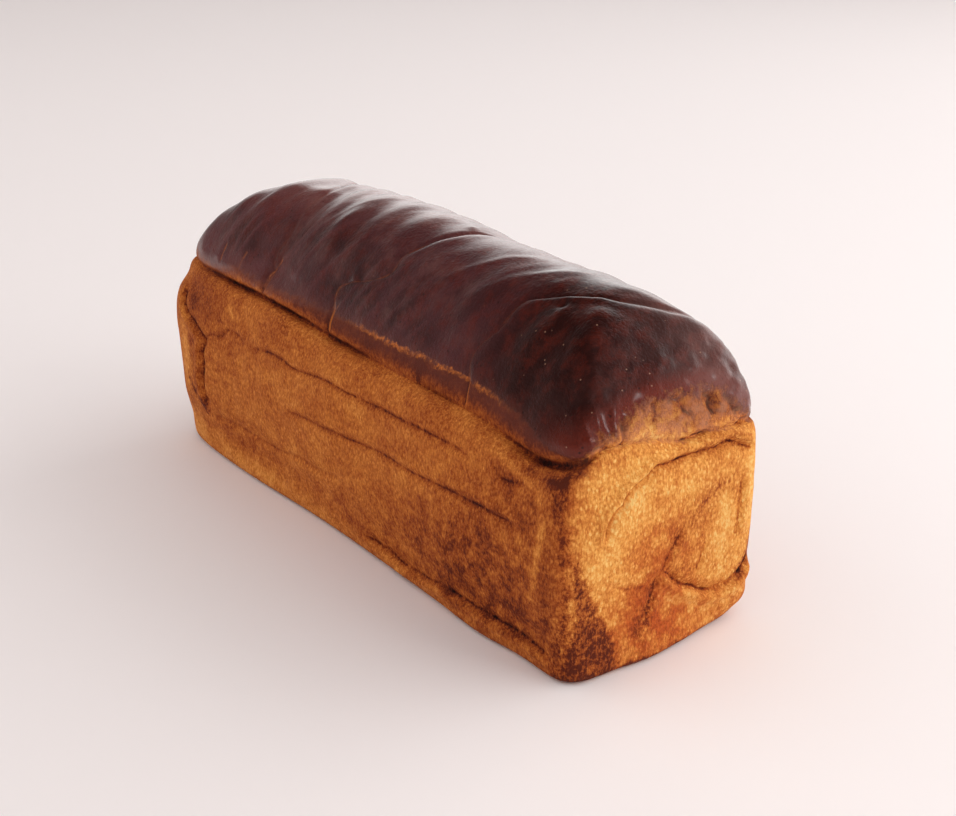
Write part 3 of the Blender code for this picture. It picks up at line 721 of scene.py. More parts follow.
nearCrust = {
    "from": (118, 130),
    "thick": 0.35, "thickRise": (-0.5, 0.8),
    "tornAbove": (-1, 2), "tornBelow": (2, -1),
    "fibre": 0.5, "fibreNoise": ((60, 3.6, 8), 51, 2),
    "drip": 0.8, "dripRidges": (((60, 4.2, 13), 52, 1), 3, 0.3),
    "dripStart": (-44, -36), "dripEnd": (-17, -27), "dripFall": (16, 6), "dripRise": (0, 2),
    "lobe": 0.7, "lobeNoise": ((7, 6, 6), 53, 2), "lobeRise": (2, 10), "lobeFrom": (96, 116),
    "holes": (  # place across, height, half width, half height, depth
        (16.5, 87, 1.5, 2.8, 1.7), (27, 82, 1.2, 1.8, 1.2), (12.5, 78.2, 1.8, 1.0, 1.2),
    ),
}


def nearRelief(places, above):  # above: heights over the crack, the glaze's edge and the tear
    look = nearCrust
    x, y, z = places.T
    aboveCrack, aboveGlaze, aboveTear = above.T
    relief = look["thick"] * (fade(aboveGlaze, *look["thickRise"]) - 1)
    torn = fade(aboveTear, *look["tornAbove"]) * fade(aboveGlaze, *look["tornBelow"])
    relief += look["fibre"] * torn * (1 - 2 * np.abs(lumps(places, *look["fibreNoise"])))
    dripping = fade(y, *look["dripStart"]) * fade(y, *look["dripEnd"]) * fade(aboveGlaze, *look["dripFall"])
    ridge = ridges(places, *look["dripRidges"])
    relief += look["drip"] * dripping * ridge * fade(aboveCrack, *look["dripRise"])
    lobe = fade(aboveCrack, *look["lobeRise"]) * fade(x, *look["lobeFrom"])
    relief += look["lobe"] * lobe * lumps(places, *look["lobeNoise"])
    for place, height, halfWidth, halfHeight, depth in look["holes"]:
        distance = np.hypot((y - place) / halfWidth, (z - height) / halfHeight)
        relief -= depth * bump(distance, 1)
    return fade(x, *look["from"]) * relief


underside = {  # the values of its points: far below every edge, and away from lines and patches
    "heights": (-80, -90, -80),
    "creaseSide": (20, 20, 20),
    "creasePower": (0, 0, 0),
    "stains": (0.1, 0, 0),
    "patches": (-20, -20, -20),
    "crust": (0, 0, 0),
}


def buildLoaf():
    points, quads = buildNet()
    ring = baseRing(points)
    places, crack, onBody = loafForm(points)

    mesh = bpy.data.meshes.new("brioche")
    mesh.from_pydata(places * mm, [], quads.tolist())
    normals = np.zeros(len(places) * 3)
    mesh.vertices.foreach_get("normal", normals)
    normals = normals.reshape(-1, 3)

    onWall = onBody & (places[:, 2] < crack)
    crackPart, strength = crackRelief(places, crack, normals)
    creasePart, sides, powers = creaseRelief(places, normals, onWall)
    seamSide, seamPower = seamLines(places, crack)
    sides[~onWall, 0] = seamSide[~onWall]
    powers[~onWall, 0] = seamPower[~onWall]
    above = heights(places, crack)
    domePart, hollow = domeRelief(places, crack)
    domePart += nearRelief(places, above)
    relief = np.where(onWall, wallRelief(places), domePart) + creasePart + crackPart
    relief[ring] = 0
    final = places + normals * relief[:, None]
    final[:, :2] -= body["middle"]

    # The underside: a ring just inside the edge, and one flat face
    inner = final[ring].copy()
    inner[:, :2] *= 1 - net["baseInset"] / np.linalg.norm(inner[:, :2], axis=1)[:, None]
    inner[:, 2] = 0
    innerIndex = len(final) + np.arange(len(ring))
    around = np.roll(np.arange(len(ring)), -1)
    ringFaces = np.stack([ring, innerIndex, innerIndex[around], ring[around]], axis=1)
    faces = quads.tolist() + ringFaces.tolist() + [innerIndex[::-1].tolist()]
    mesh.clear_geometry()
    mesh.from_pydata(np.concatenate([final, inner]) * mm, [], faces)
    mesh.update()
    mesh.shade_smooth()

    # One vector of each kind at every point, for the material
    soft, edged = stains(places, normals, onWall)
    facing = np.maximum(normals[:, 0], 0) ** 2
    # the third part is the painted shade in the dome's hollows, with the near lobe's darker glaze
    crust = np.stack([strength, facing, hollow], axis=1)
    for (name, low), values in zip(underside.items(), (above, sides, powers, soft, edged, crust)):
        rows = np.concatenate([values, np.tile(low, (len(ring), 1))])
        attribute = mesh.attributes.new(name, "FLOAT_VECTOR", "POINT")
        attribute.data.foreach_set("vector", rows.astype(np.float32).ravel())
    loaf = bpy.data.objects.new("brioche", mesh)
    bpy.context.scene.collection.objects.link(loaf)
    print("loaf mesh:", len(mesh.vertices), "points,", len(mesh.polygons), "faces")
    return loaf


# Helpers for materials

def linear(red, green, blue):  # a screen colour as Blender's own linear colour
    parts = [part / 255 for part in (red, green, blue)]
    return [part / 12.92 if part <= 0.04045 else ((part + 0.055) / 1.055) ** 2.4 for part in parts] + [1]


def addNode(tree, kind, **settings):
    node = tree.nodes.new("ShaderNode" + kind)
    for name, value in settings.items():
        setattr(node, name, value)
    return node


def feed(tree, socket, value):  # a link from another socket, or a plain value
    if isinstance(value, bpy.types.NodeSocket):
        tree.links.new(value, socket)
    else:
        socket.default_value = value


def calc(tree, operation, *values, clamp=False):
    node = addNode(tree, "Math", operation=operation, use_clamp=clamp)
    for socket, value in zip(node.inputs, values):
        feed(tree, socket, value)
    return node.outputs[0]


def calcVector(tree, operation, first, second):
    node = addNode(tree, "VectorMath", operation=operation)
    feed(tree, node.inputs[0], first)
    feed(tree, node.inputs[1], second)
    return node.outputs["Value" if operation == "DOT_PRODUCT" else "Vector"]


def choose(tree, factor, first, second):
    node = addNode(tree, "Mix", data_type="FLOAT")
    for socket, value in zip((0, 2, 3), (factor, first, second)):
        feed(tree, node.inputs[socket], value)
    return node.outputs[0]


def ramp(tree, value, low, high, toLow=0.0, toHigh=1.0):
    node = addNode(tree, "MapRange", interpolation_type="SMOOTHSTEP")
    for socket, part in zip(node.inputs, (value, low, high, toLow, toHigh)):
        feed(tree, socket, part)
    return node.outputs[0]


def blend(tree, factor, first, second):
    node = addNode(tree, "Mix", data_type="RGBA")
    feed(tree, node.inputs["Factor"], factor)
    feed(tree, node.inputs[6], first)
    feed(tree, node.inputs[7], second)
    return node.outputs[2]


def split(tree, vector):
    node = addNode(tree, "SeparateXYZ")
    feed(tree, node.inputs[0], vector)
    return node.outputs


def startGroup(name, inputs, outputs):  # inputs are (name, kind, value), outputs (name, kind)
    group = bpy.data.node_groups.new(name, "ShaderNodeTree")
    for label, kind, value in inputs:
        socket = group.interface.new_socket(name=label, in_out="INPUT", socket_type="NodeSocket" + kind)
        if value is not None:
            socket.default_value = value
    for label, kind in outputs:
        group.interface.new_socket(name=label, in_out="OUTPUT", socket_type="NodeSocket" + kind)
    start = group.nodes.new("NodeGroupInput")
    end = group.nodes.new("NodeGroupOutput")
    return group, start.outputs, end.inputs


def useGroup(tree, group, **values):  # spaces in a socket's name are left out here
    node = addNode(tree, "Group", node_tree=group)
    for socket in node.inputs:
        name = socket.name.replace(" ", "")
        if name in values:
            feed(tree, socket, values[name])
    return node.outputs


# Shared effects

def mottleGroup():  # noise drawn out along one way, for fibres, specks and cloudy browning
    group, given, out = startGroup("breadMottle", (
        ("Place", "Vector", None), ("Grain", "Vector", (1.0, 1.0, 1.0)), ("Detail", "Float", 3.0),
        ("Rough", "Float", 0.55), ("Low", "Float", 0.4), ("High", "Float", 0.6)), (("Value", "Float"),))
    noise = addNode(group, "TexNoise")
    feed(group, noise.inputs["Vector"], calcVector(group, "DIVIDE", given["Place"], given["Grain"]))
    noise.inputs["Scale"].default_value = 1.0
    feed(group, noise.inputs["Detail"], given["Detail"])
    feed(group, noise.inputs["Roughness"], given["Rough"])
    feed(group, out["Value"], ramp(group, noise.outputs["Fac"], given["Low"], given["High"]))
    return group


def cellGroup():  # rounded blobs scattered at random: 1 in a blob's middle, 0 between blobs
    group, given, out = startGroup("crumbCells", (
        ("Place", "Vector", None), ("Cell", "Vector", (1.0, 1.0, 1.0)), ("Core", "Float", 0.15),
        ("Reach", "Float", 0.45)), (("Value", "Float"),))
    blobs = addNode(group, "TexVoronoi", feature="F1")
    feed(group, blobs.inputs["Vector"], calcVector(group, "DIVIDE", given["Place"], given["Cell"]))
    blobs.inputs["Scale"].default_value = 1.0
    feed(group, out["Value"], ramp(group, blobs.outputs["Distance"], given["Reach"], given["Core"]))
    return group


def creaseGroup():  # a thin dark line in the crease, with painted shade spread softly beside it
    group, given, out = startGroup("creaseLine", (
        ("Side", "Float", 10.0), ("Power", "Float", 0.0), ("Width", "Float", 0.5),
        ("Shade Width", "Float", 2.5), ("Break", "Float", 1.0)), (("Line", "Float"), ("Shade", "Float")))
    gap = calc(group, "ABSOLUTE", given["Side"])
    held = calc(group, "MULTIPLY", given["Power"], given["Break"])
    line = ramp(group, gap, given["Width"], 0.0)
    shade = ramp(group, gap, given["Shade Width"], 0.0)
    feed(group, out["Line"], calc(group, "MULTIPLY", line, held))
    feed(group, out["Shade"], calc(group, "MULTIPLY", shade, given["Power"]))
    return group


def edgeGroup():  # turns a height above an edge into a mask with a ragged border
    group, given, out = startGroup("raggedEdge", (
        ("Height", "Float", 0.0), ("Noise", "Float", 0.5), ("Ragged", "Float", 2.0),
        ("Blur", "Float", 1.0)), (("Mask", "Float"),))
    shift = calc(group, "MULTIPLY", calc(group, "SUBTRACT", given["Noise"], 0.5), given["Ragged"])
    raised = calc(group, "ADD", given["Height"], shift)
    low = calc(group, "MULTIPLY", given["Blur"], -1.0)
    feed(group, out["Mask"], ramp(group, raised, low, given["Blur"]))
    return group


def toneGroup(stops):  # the colour of baked crust, from pale gold at 0 to burnt at 1
    group, given, out = startGroup("crustTone", (("Browning", "Float", 0.5),), (("Color", "Color"),))
    tones = addNode(group, "ValToRGB")
    ends = tones.color_ramp.elements
    for index, (place, colour) in enumerate(stops):
        stop = ends[index] if index < 2 else ends.new(place)
        stop.position = place
        stop.color = linear(*colour)
    feed(group, tones.inputs[0], given["Browning"])
    feed(group, out["Color"], tones.outputs[0])
    return group


# The baked crust. A pair that atNear reads holds its first value on the long walls and adds its
# second at the near end. A range runs from nothing to full, or between the two levels beside it

crustLook = {
    "colours": {
        "glaze": (87, 42, 44), "glazeLeft": (106, 56, 57), "glazeNear": (50, 14, 9),
        # On the next line the first colour also paints shade in the dome's hollows, and the last one is a
        # painted sheen: the pale light the glaze reflects at the crown and far rim
        "glazeHollow": (40, 11, 8), "glazeRed": (114, 32, 9), "bloom": (134, 89, 82),
        "purple": (104, 54, 44), "rim": (200, 112, 50), "torn": (216, 152, 112),
        # the last colour on the next line paints tiny glints on bubbles in the near lobe's glaze
        "ruddy": (202, 92, 40), "seam": (180, 98, 56), "speck": (170, 128, 104),
    },
    "tones": ((0.0, (250, 206, 126)), (0.22, (241, 168, 82)), (0.42, (209, 124, 54)),
              (0.60, (169, 84, 34)), (0.76, (116, 48, 23)), (0.9, (66, 26, 18)), (1.0, (34, 15, 14))),
    "grains": {  # size in mm along x, y and z, where the noise starts and is full, detail, roughness
        "sponge": ((1.15, 1.15, 1.6), 0.34, 0.66, 4, 0.7), "fibre": ((0.5, 0.5, 1.9), 0.34, 0.66, 2, 0.55),
        "cloud": ((17, 17, 13), 0.3, 0.7, 3, 0.55), "blotch": ((6, 6, 5.5), 0.35, 0.65, 5, 0.65),
        "paleBlotch": ((9, 9, 12), 0.62, 0.76, 2, 0.55), "fine": ((0.5, 0.5, 0.6), 0.3, 0.7, 2, 0.55),
        "ragged": ((3.2, 3.2, 3.2), 0.2, 0.8, 5, 0.7), "lineBreak": ((3.5, 3.5, 3.5), 0.3, 0.62, 3, 0.55),
        "gapBreak": ((11, 11, 11), 0.22, 0.55, 4, 0.55), "vein": ((5, 5, 3.4), 0.2, 0.8, 5, 0.65),
        "red": ((5, 7, 7), 0.42, 0.68, 6, 0.65), "porous": ((10, 10, 10), 0.38, 0.6, 3, 0.55),
        "bloom": ((11, 15, 15), 0.45, 0.72, 5, 0.65), "gloss": ((3, 4, 4), 0.35, 0.65, 3, 0.55),
        "wrinkle": ((1.6, 7, 7), 0.3, 0.7, 3, 0.55), "dimple": ((1.3, 1.3, 1.3), 0.3, 0.7, 3, 0.55),
    },
    "cells": {  # size in mm, and the distances from a blob's middle where it is full and gone
        "fleck": ((1.3, 1.3, 2.6), 0.1, 0.34), "bubble": ((1.7, 1.7, 2.1), 0.16, 0.46),
        "pore": ((2.9, 2.9, 2.9), 0.08, 0.2), "speck": ((4.5, 4.5, 4.5), 0.03, 0.09),
    },
    "edges": {  # how ragged and how blurred each border is, in mm
        "band": (1.2, 0.5), "burnt": (4.2, 2.4), "brown": (3.4, 3.0), "pale": (2.0, 1.3),
        "glazeRagged": (2.4, 6.0), "glazeBlur": (0.9, 2.6), "glazeBlurLeft": 3.2, "glazeLower": 1.0,
        "leftFrom": (5.0, -70.0),
    },
    "browning": {  # 0 is pale, 1 is burnt
        "base": (0.488, -0.195), "upHigh": 0.035, "upHighFrom": (-22.0, -6.0), "cloud": 0.09,
        "blotch": (0.07, 0.04), "sponge": (0.17, 0.06), "fibre": 0.11, "bubble": (0.02, 0.13),
        "fleck": (0.10, 0.08), "paleBlotch": -0.09, "pale": -0.26, "palePatch": -0.15,
        "ruddy": 0.11, "ruddyBlotch": 0.14, "brownHides": 0.5, "brown": 0.08, "brownSponge": 0.13,
        "burnt": 0.27, "burntSponge": 0.15, "scorch": 0.75, "scorchRagged": 0.5, "darkest": 0.84,
    },
    "band": {  # the crust between the crack and the glaze
        "rise": (1.0, 6.0), "tone": (0.62, 0.77), "near": -0.33, "blotch": (0.12, 0.16),
        "sponge": 0.16, "veinWidth": 0.1, "vein": (0.03, 0.22), "fibre": 0.08, "left": -0.10,
        "pale": -0.3, "purpleRise": (1.5, 7.0), "purple": (0.1, 0.75), "purpleLeft": -0.4,
        "purpleNear": -0.5, "purpleBurnt": 0.06, "purpleScorch": 0.8,
        "ruddy": 0.35, "ruddyBlotch": 0.4, "ruddySponge": -0.4, "torn": 0.05, "tornBlotch": 0.45,
    },
    "lines": {
        # shade and shadeWidth paint shade beside the creases; the gap values paint a dark line and shade
        # along the crack for its shadow
        "widths": (0.75, 0.8, 0.75), "shadeWidth": 2.2, "line": (0.18, 0.20), "shade": (0.12, 0.05),
        "gapWidth": 0.22, "gapWider": 0.5, "gapShadeWidth": 2.0, "gap": 0.3, "gapShade": 0.10,
        "splitFrom": (0.3, 0.8), "splitTo": (2.4, 1.2), "splitRise": (0.5, 2.0), "split": 0.8,
    },
    "glaze": {
        "nearFrom": (60.0, 100.0), "hollow": 0.65, "red": 0.4, "lowRise": (15.0, 2.0),
        "lowFrom": (112.0, 130.0), "low": 0.85, "seamRise": (24.0, 4.0), "seam": (0.75, 1.0),
        "fine": 0.35, "thinRise": (6.0, -0.5), "thin": (0.4, -0.5), "pore": 0.8,
        # The next two lines set the painted sheen: the glaze is lightened away from the near end and over
        # the back half
        "bloomFrom": (80.0, 40.0), "bloom": (0.08, 0.28), "backLean": -0.12,
        "backFrom": (-18.0, 10.0), "back": (0.0, 0.36), "backEven": 0.6, "backCloud": 0.7,
        "speckFrom": (70.0, 110.0), "speck": (0.15, 0.8), "splitRise": (12.0, 1.0), "split": (0.15, 0.6),
    },
    "rimLine": {  # the broken orange line at the glaze's lower edge
        "stray": 2.4, "width": (1.4, 0.2), "leftFrom": (-5.0, 25.0), "left": (0.1, 1.0),
        "rightFrom": (110.0, 70.0), "backFrom": (10.0, -20.0), "back": (0.15, 1.0),
        "even": 0.2, "sponge": 1.2,
    },
    "gloss": {
        "wall": 0.66, "wallFine": 0.14, "glaze": 0.42, "glazeGrain": 0.14,
        "coatFrom": (10.0, 95.0), "coat": (0.95, 0.36), "coatGrain": 0.15, "facing": 0.5,
        "rimFrom": (0.55, 0.85), "backFrom": (-14.0, 8.0), "back": (0.0, 0.95),
        "coatRoughness": 0.27, "coatIor": 1.38, "specular": 0.1,
    },
    "bumps": {  # in mm
        "sponge": 0.26, "fibre": 0.12, "fine": 0.05, "fleck": 0.06, "bubble": 0.12,
        "gloss": 0.06, "wrinkle": 0.05, "pore": -0.14, "red": 0.5, "dimple": 0.20,
        "glazeStep": 0.3, "line": -0.35, "gap": -0.6, "strength": 0.9,
    },
}


def crustMaterial():
    mottle, cells, creaseLine, raggedEdge = mottleGroup(), cellGroup(), creaseGroup(), edgeGroup()
    crustTone = toneGroup(crustLook["tones"])
    material = bpy.data.materials.new("bakedCrust")
    material.use_nodes = True
    tree = material.node_tree
    shader = tree.nodes["Principled BSDF"]
    edges, marks, ribbon = crustLook["edges"], crustLook["browning"], crustLook["band"]
    drawing, glazing, rimmed = crustLook["lines"], crustLook["glaze"], crustLook["rimLine"]
    shine, raised = crustLook["gloss"], crustLook["bumps"]

    place = addNode(tree, "VectorMath", operation="SCALE")
    feed(tree, place.inputs[0], addNode(tree, "TexCoord").outputs["Object"])
    place.inputs["Scale"].default_value = 1 / mm
    place = place.outputs[0]
    along, across = split(tree, place)[:2]

    def kept(name):
        return split(tree, addNode(tree, "Attribute", attribute_name=name).outputs["Vector"])

    aboveCrack, aboveGlaze, aboveTear = kept("heights")
    sides, powers = kept("creaseSide"), kept("creasePower")
    scorch, pale, ruddy = kept("stains")
    burntDepth, brownDepth, paleDepth = kept("patches")
    crackShadePower, nearFacing, hollow = kept("crust")

    def grain(name):
        size, low, high, detail, rough = crustLook["grains"][name]
        return useGroup(tree, mottle, Place=place, Grain=size, Low=low, High=high, Detail=detail,
                        Rough=rough)["Value"]

    def cell(name):
        size, core, reach = crustLook["cells"][name]
        return useGroup(tree, cells, Place=place, Cell=size, Core=core, Reach=reach)["Value"]

    def times(first, second, clamp=False):
        return calc(tree, "MULTIPLY", first, second, clamp=clamp)

    def most(first, second, clamp=False):
        return calc(tree, "MAXIMUM", first, second, clamp=clamp)

    def add(value, amount, base, clamp=False):  # value times amount, added to the base
        return calc(tree, "MULTIPLY_ADD", value, amount, base, clamp=clamp)

    def atNear(level):  # a pair, or one value that holds everywhere
        return add(nearFacing, level[1], level[0]) if isinstance(level, tuple) else level

    def fadeIn(value, reach, levels=(0.0, 1.0)):
        return ramp(tree, value, *reach, *levels)

    def centred(value):
        return calc(tree, "SUBTRACT", value, 0.5)

    def magnitude(value):
        return calc(tree, "ABSOLUTE", value)

    def tint(share, colour, name):  # the colour turned towards a named one
        return blend(tree, share, colour, linear(*crustLook["colours"][name]))

    sponge, fibre, fine, ragged = grain("sponge"), grain("fibre"), grain("fine"), grain("ragged")
    cloud, blotch, lineBreak = grain("cloud"), grain("blotch"), grain("lineBreak")
    fleck, bubble = cell("fleck"), cell("bubble")

    def edged(height, amount, blur):
        return useGroup(tree, raggedEdge, Height=height, Noise=ragged, Ragged=amount, Blur=blur)["Mask"]

    leftward = fadeIn(along, edges["leftFrom"])
    glaze = edged(add(leftward, edges["glazeLower"], aboveGlaze), atNear(edges["glazeRagged"]),
                  add(leftward, edges["glazeBlurLeft"], atNear(edges["glazeBlur"])))
    band = edged(aboveTear, *edges["band"])
    burnt = edged(burntDepth, *edges["burnt"])
    brown = edged(brownDepth, *edges["brown"])
    palePatch = edged(paleDepth, *edges["pale"])

    # Browning of the walls
    browning = add(fadeIn(aboveCrack, marks["upHighFrom"]), marks["upHigh"], atNear(marks["base"]))
    for value, name in ((cloud, "cloud"), (blotch, "blotch"), (sponge, "sponge"), (fibre, "fibre")):
        browning = add(centred(value), atNear(marks[name]), browning)
    plain = calc(tree, "SUBTRACT", 1.0, most(burnt, times(brown, marks["brownHides"])))
    blobs = add(bubble, atNear(marks["bubble"]), times(fleck, atNear(marks["fleck"])))
    browning = add(blobs, times(plain, -1.0), browning)
    browning = add(ruddy, add(blotch, marks["ruddyBlotch"], marks["ruddy"]), browning)
    for value, name in ((grain("paleBlotch"), "paleBlotch"), (pale, "pale"), (palePatch, "palePatch")):
        browning = add(value, marks[name], browning)
    patchShade = most(times(brown, add(sponge, marks["brownSponge"], marks["brown"])),
                      times(burnt, add(sponge, marks["burntSponge"], marks["burnt"])))
    scorched = times(scorch, add(ragged, marks["scorchRagged"], marks["scorch"]))
    shaded = calc(tree, "ADD", scorched, patchShade)
    browning = calc(tree, "ADD", shaded, browning)

    # The band: purple-brown above, more orange below
    bandTone = add(nearFacing, ribbon["near"], fadeIn(aboveCrack, ribbon["rise"], ribbon["tone"]))
    bandTone = add(centred(sponge), ribbon["sponge"], bandTone)
    bandTone = add(centred(blotch), atNear(ribbon["blotch"]), bandTone)
    vein = fadeIn(magnitude(centred(grain("vein"))), (ribbon["veinWidth"], 0.0))
    bandTone = add(vein, atNear(ribbon["vein"]), bandTone)
    bandTone = add(leftward, ribbon["left"], add(centred(fibre), ribbon["fibre"], bandTone))
    bandTone = add(pale, ribbon["pale"], calc(tree, "ADD", shaded, bandTone))
    browning = calc(tree, "MINIMUM", choose(tree, band, browning, bandTone), marks["darkest"])

    # Creases, with painted shade beside them, and the crack, painted dark for its shadow
    lines, shades = 0.0, 0.0
    for side, power, width in zip(sides, powers, drawing["widths"]):
        drawn = useGroup(tree, creaseLine, Side=side, Power=power, Width=width,
                         ShadeWidth=drawing["shadeWidth"], Break=lineBreak)
        lines = most(drawn["Line"], lines)
        shades = most(drawn["Shade"], shades)
    # painted shade beside the creases, then their thin dark lines
    browning = add(shades, atNear(drawing["shade"]), browning)
    browning = add(lines, atNear(drawing["line"]), browning)
    # Painted shadow: a dark line and soft shade along the crack under the dome's overhang
    gap = useGroup(tree, creaseLine, Side=aboveCrack, Power=crackShadePower, Break=grain("gapBreak"),
                   Width=add(crackShadePower, drawing["gapWider"], drawing["gapWidth"]),
                   ShadeWidth=drawing["gapShadeWidth"])
    browning = add(gap["Line"], drawing["gap"], browning)
    browning = add(gap["Shade"], drawing["gapShade"], browning, clamp=True)
    wall = useGroup(tree, crustTone, Browning=browning)["Color"]

    # Purple and reddish shades, and the torn crust at the near end
    bandPurple = times(band, fadeIn(aboveCrack, ribbon["purpleRise"], ribbon["purple"]))
    lessPurple = add(nearFacing, ribbon["purpleNear"], add(leftward, ribbon["purpleLeft"], 1.0))
    purpleShare = most(times(bandPurple, lessPurple, clamp=True), times(burnt, ribbon["purpleBurnt"]))
    purpleShare = most(purpleShare, times(scorched, ribbon["purpleScorch"]), clamp=True)
    wall = tint(purpleShare, wall, "purple")
    ruddyShare = add(sponge, ribbon["ruddySponge"], add(blotch, ribbon["ruddyBlotch"], ribbon["ruddy"]))
    ruddyShare = times(times(ruddy, nearFacing), ruddyShare)
    wall = tint(times(ruddyShare, plain, clamp=True), wall, "ruddy")
    tornShare = times(times(band, nearFacing), add(blotch, ribbon["tornBlotch"], ribbon["torn"]))
    wall = tint(tornShare, wall, "torn")
    splitEdge = times(fadeIn(sides[0], drawing["splitFrom"]), fadeIn(sides[0], drawing["splitTo"]))
    splitEdge = times(splitEdge, times(powers[0], fadeIn(aboveCrack, drawing["splitRise"])))
    wall = tint(times(splitEdge, drawing["split"]), wall, "rim")

    # Glaze: nearly black in the hollows, where painted shade darkens it, redder where it is thin, and
    # lightened by a painted sheen away from the near end and over the back half
    nearLow = times(fadeIn(aboveGlaze, glazing["lowRise"]), fadeIn(along, glazing["lowFrom"]))
    redShare = most(times(grain("red"), glazing["red"]), times(nearLow, glazing["low"]))
    pore = times(cell("pore"), grain("porous"))
    # Painted sheen: the glaze is lightened in noisy patches away from the near end, and more over the back
    # half, for the backdrop's light it reflects at the crown and far rim
    bloom = times(grain("bloom"), fadeIn(along, glazing["bloomFrom"], glazing["bloom"]))
    paintedBackSheen = fadeIn(add(along, glazing["backLean"], across), glazing["backFrom"], glazing["back"])
    paintedBackSheen = times(paintedBackSheen, add(cloud, glazing["backCloud"], glazing["backEven"]))
    shiny = linear(*crustLook["colours"]["glaze"])
    for share, name in (
        (leftward, "glazeLeft"),
        (fadeIn(along, glazing["nearFrom"]), "glazeNear"),
        # painted shade in the hollows
        (times(hollow, glazing["hollow"]), "glazeHollow"),
        (redShare, "glazeRed"),
        (times(lines, fadeIn(aboveGlaze, glazing["seamRise"], glazing["seam"])), "seam"),
        (times(fine, glazing["fine"]), "glazeHollow"),
        (times(fadeIn(aboveGlaze, glazing["thinRise"]), atNear(glazing["thin"]), clamp=True), "purple"),
        (times(pore, glazing["pore"]), "glazeHollow"),
        (calc(tree, "ADD", bloom, paintedBackSheen), "bloom"),
        # painted glints: tiny pale dots on the near lobe
        (times(cell("speck"), fadeIn(along, glazing["speckFrom"], glazing["speck"])), "speck"),
        (times(splitEdge, fadeIn(aboveGlaze, glazing["splitRise"], glazing["split"])), "rim"),
    ):
        shiny = tint(share, shiny, name)
    colour = blend(tree, glaze, wall, shiny)

    rimLine = fadeIn(magnitude(add(centred(ragged), rimmed["stray"], aboveGlaze)), rimmed["width"])
    rimPart = times(fadeIn(along, rimmed["leftFrom"], rimmed["left"]), fadeIn(along, rimmed["rightFrom"]))
    rimPart = times(rimPart, fadeIn(across, rimmed["backFrom"], rimmed["back"]))
    rimShare = times(rimLine, times(lineBreak, rimPart))
    rimShare = times(rimShare, add(sponge, rimmed["sponge"], rimmed["even"]), clamp=True)
    feed(tree, shader.inputs["Base Color"], tint(rimShare, colour, "rim"))

    gloss = grain("gloss")
    wallRough = add(fine, shine["wallFine"], shine["wall"])
    glazeRough = add(gloss, shine["glazeGrain"], shine["glaze"])
    feed(tree, shader.inputs["Roughness"], choose(tree, glaze, wallRough, glazeRough))
    coat = add(gloss, shine["coatGrain"], fadeIn(along, shine["coatFrom"], shine["coat"]))
    facing = addNode(tree, "LayerWeight")
    facing.inputs["Blend"].default_value = shine["facing"]
    coat = most(coat, fadeIn(facing.outputs["Facing"], shine["rimFrom"]))
    coat = most(coat, fadeIn(across, shine["backFrom"], shine["back"]))
    feed(tree, shader.inputs["Coat Weight"], times(coat, glaze, clamp=True))
    shader.inputs["Coat Roughness"].default_value = shine["coatRoughness"]
    shader.inputs["Coat IOR"].default_value = shine["coatIor"]
    shader.inputs["Specular IOR Level"].default_value = shine["specular"]

    def summed(parts, start=0.0):
        for value, name in parts:
            start = add(value, raised[name], start)
        return start

    wallHeight = summed(((fibre, "fibre"), (sponge, "sponge"), (fine, "fine"), (fleck, "fleck"),
                         (bubble, "bubble")))
    glazeHeight = summed(((fine, "fine"), (gloss, "gloss"), (grain("wrinkle"), "wrinkle"), (pore, "pore"),
                          (redShare, "red"), (grain("dimple"), "dimple")), raised["glazeStep"])
    height = choose(tree, glaze, wallHeight, glazeHeight)
    height = summed(((lines, "line"), (gap["Line"], "gap")), height)
    bumps = addNode(tree, "Bump")
    bumps.inputs["Distance"].default_value = mm
    bumps.inputs["Strength"].default_value = raised["strength"]
    feed(tree, bumps.inputs["Height"], height)
    feed(tree, shader.inputs["Normal"], bumps.outputs[0])
    return material


loaf = buildLoaf()
loaf.data.materials.append(crustMaterial())
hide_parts("loaf")
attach(loaf, "root")
print("loaf in place")


# Studio: a pale floor that curves up into a round wall, and soft lights from the right, back and left

studio = {
    "rings": (0.3, 1.2),  # radii of the floor's rings, in metres
    "flat": 2.6,          # radius of the level floor
    "bend": 0.9,          # radius of the curve up to the wall
    "bendSteps": 12,
    "wall": 1.2,
    "colour": (247, 241, 240),
    "roughness": 0.7,
    "lights": (           # name, place, size, power, tint, lights surfaces, shows as a reflection
        ("key", (0.88, 0.53, 0.52), 0.8, 4.7, (1.0, 0.99, 0.98), True, False),
        ("back", (0.35, 1.60, 1.0), 1.5, 13.0, (1.0, 0.99, 0.985), True, False),
        ("fill", (-1.10, -1.20, 1.10), 1.8, 6.5, (1.0, 0.965, 0.95), True, False),
        ("glint", (1.45, 0.36, 0.50), 0.22, 6.5, (1.0, 1.0, 1.0), False, True),
    ),
    "sky": (0.97, 0.94, 0.93),
    "skyPower": 0.69,
    "aim": (-0.10, 0.12, 0.05),
    "sheen": ((0.25, 0.8), (1.0, 0.02)),     # what the glaze reflects: less from low to high
    "horizon": ((0.0, 0.3), (0.5, 1.0)),     # and less again at the horizon
    "beyond": (-0.45, 0.90, 0.0),            # it is brightest over the back
    "beyondSheen": ((0.50, 0.92), (0.24, 3.1)),
}

view = {
    "eye": (0.46031, -0.32244, 0.27523),
    "target": (0.03032, 0.00201, 0.055),
    "focal": 1500.0,      # in pixels of the photo
    "width": 956.0,
    "sensor": 36,         # in mm
    "nearest": 0.01,
}


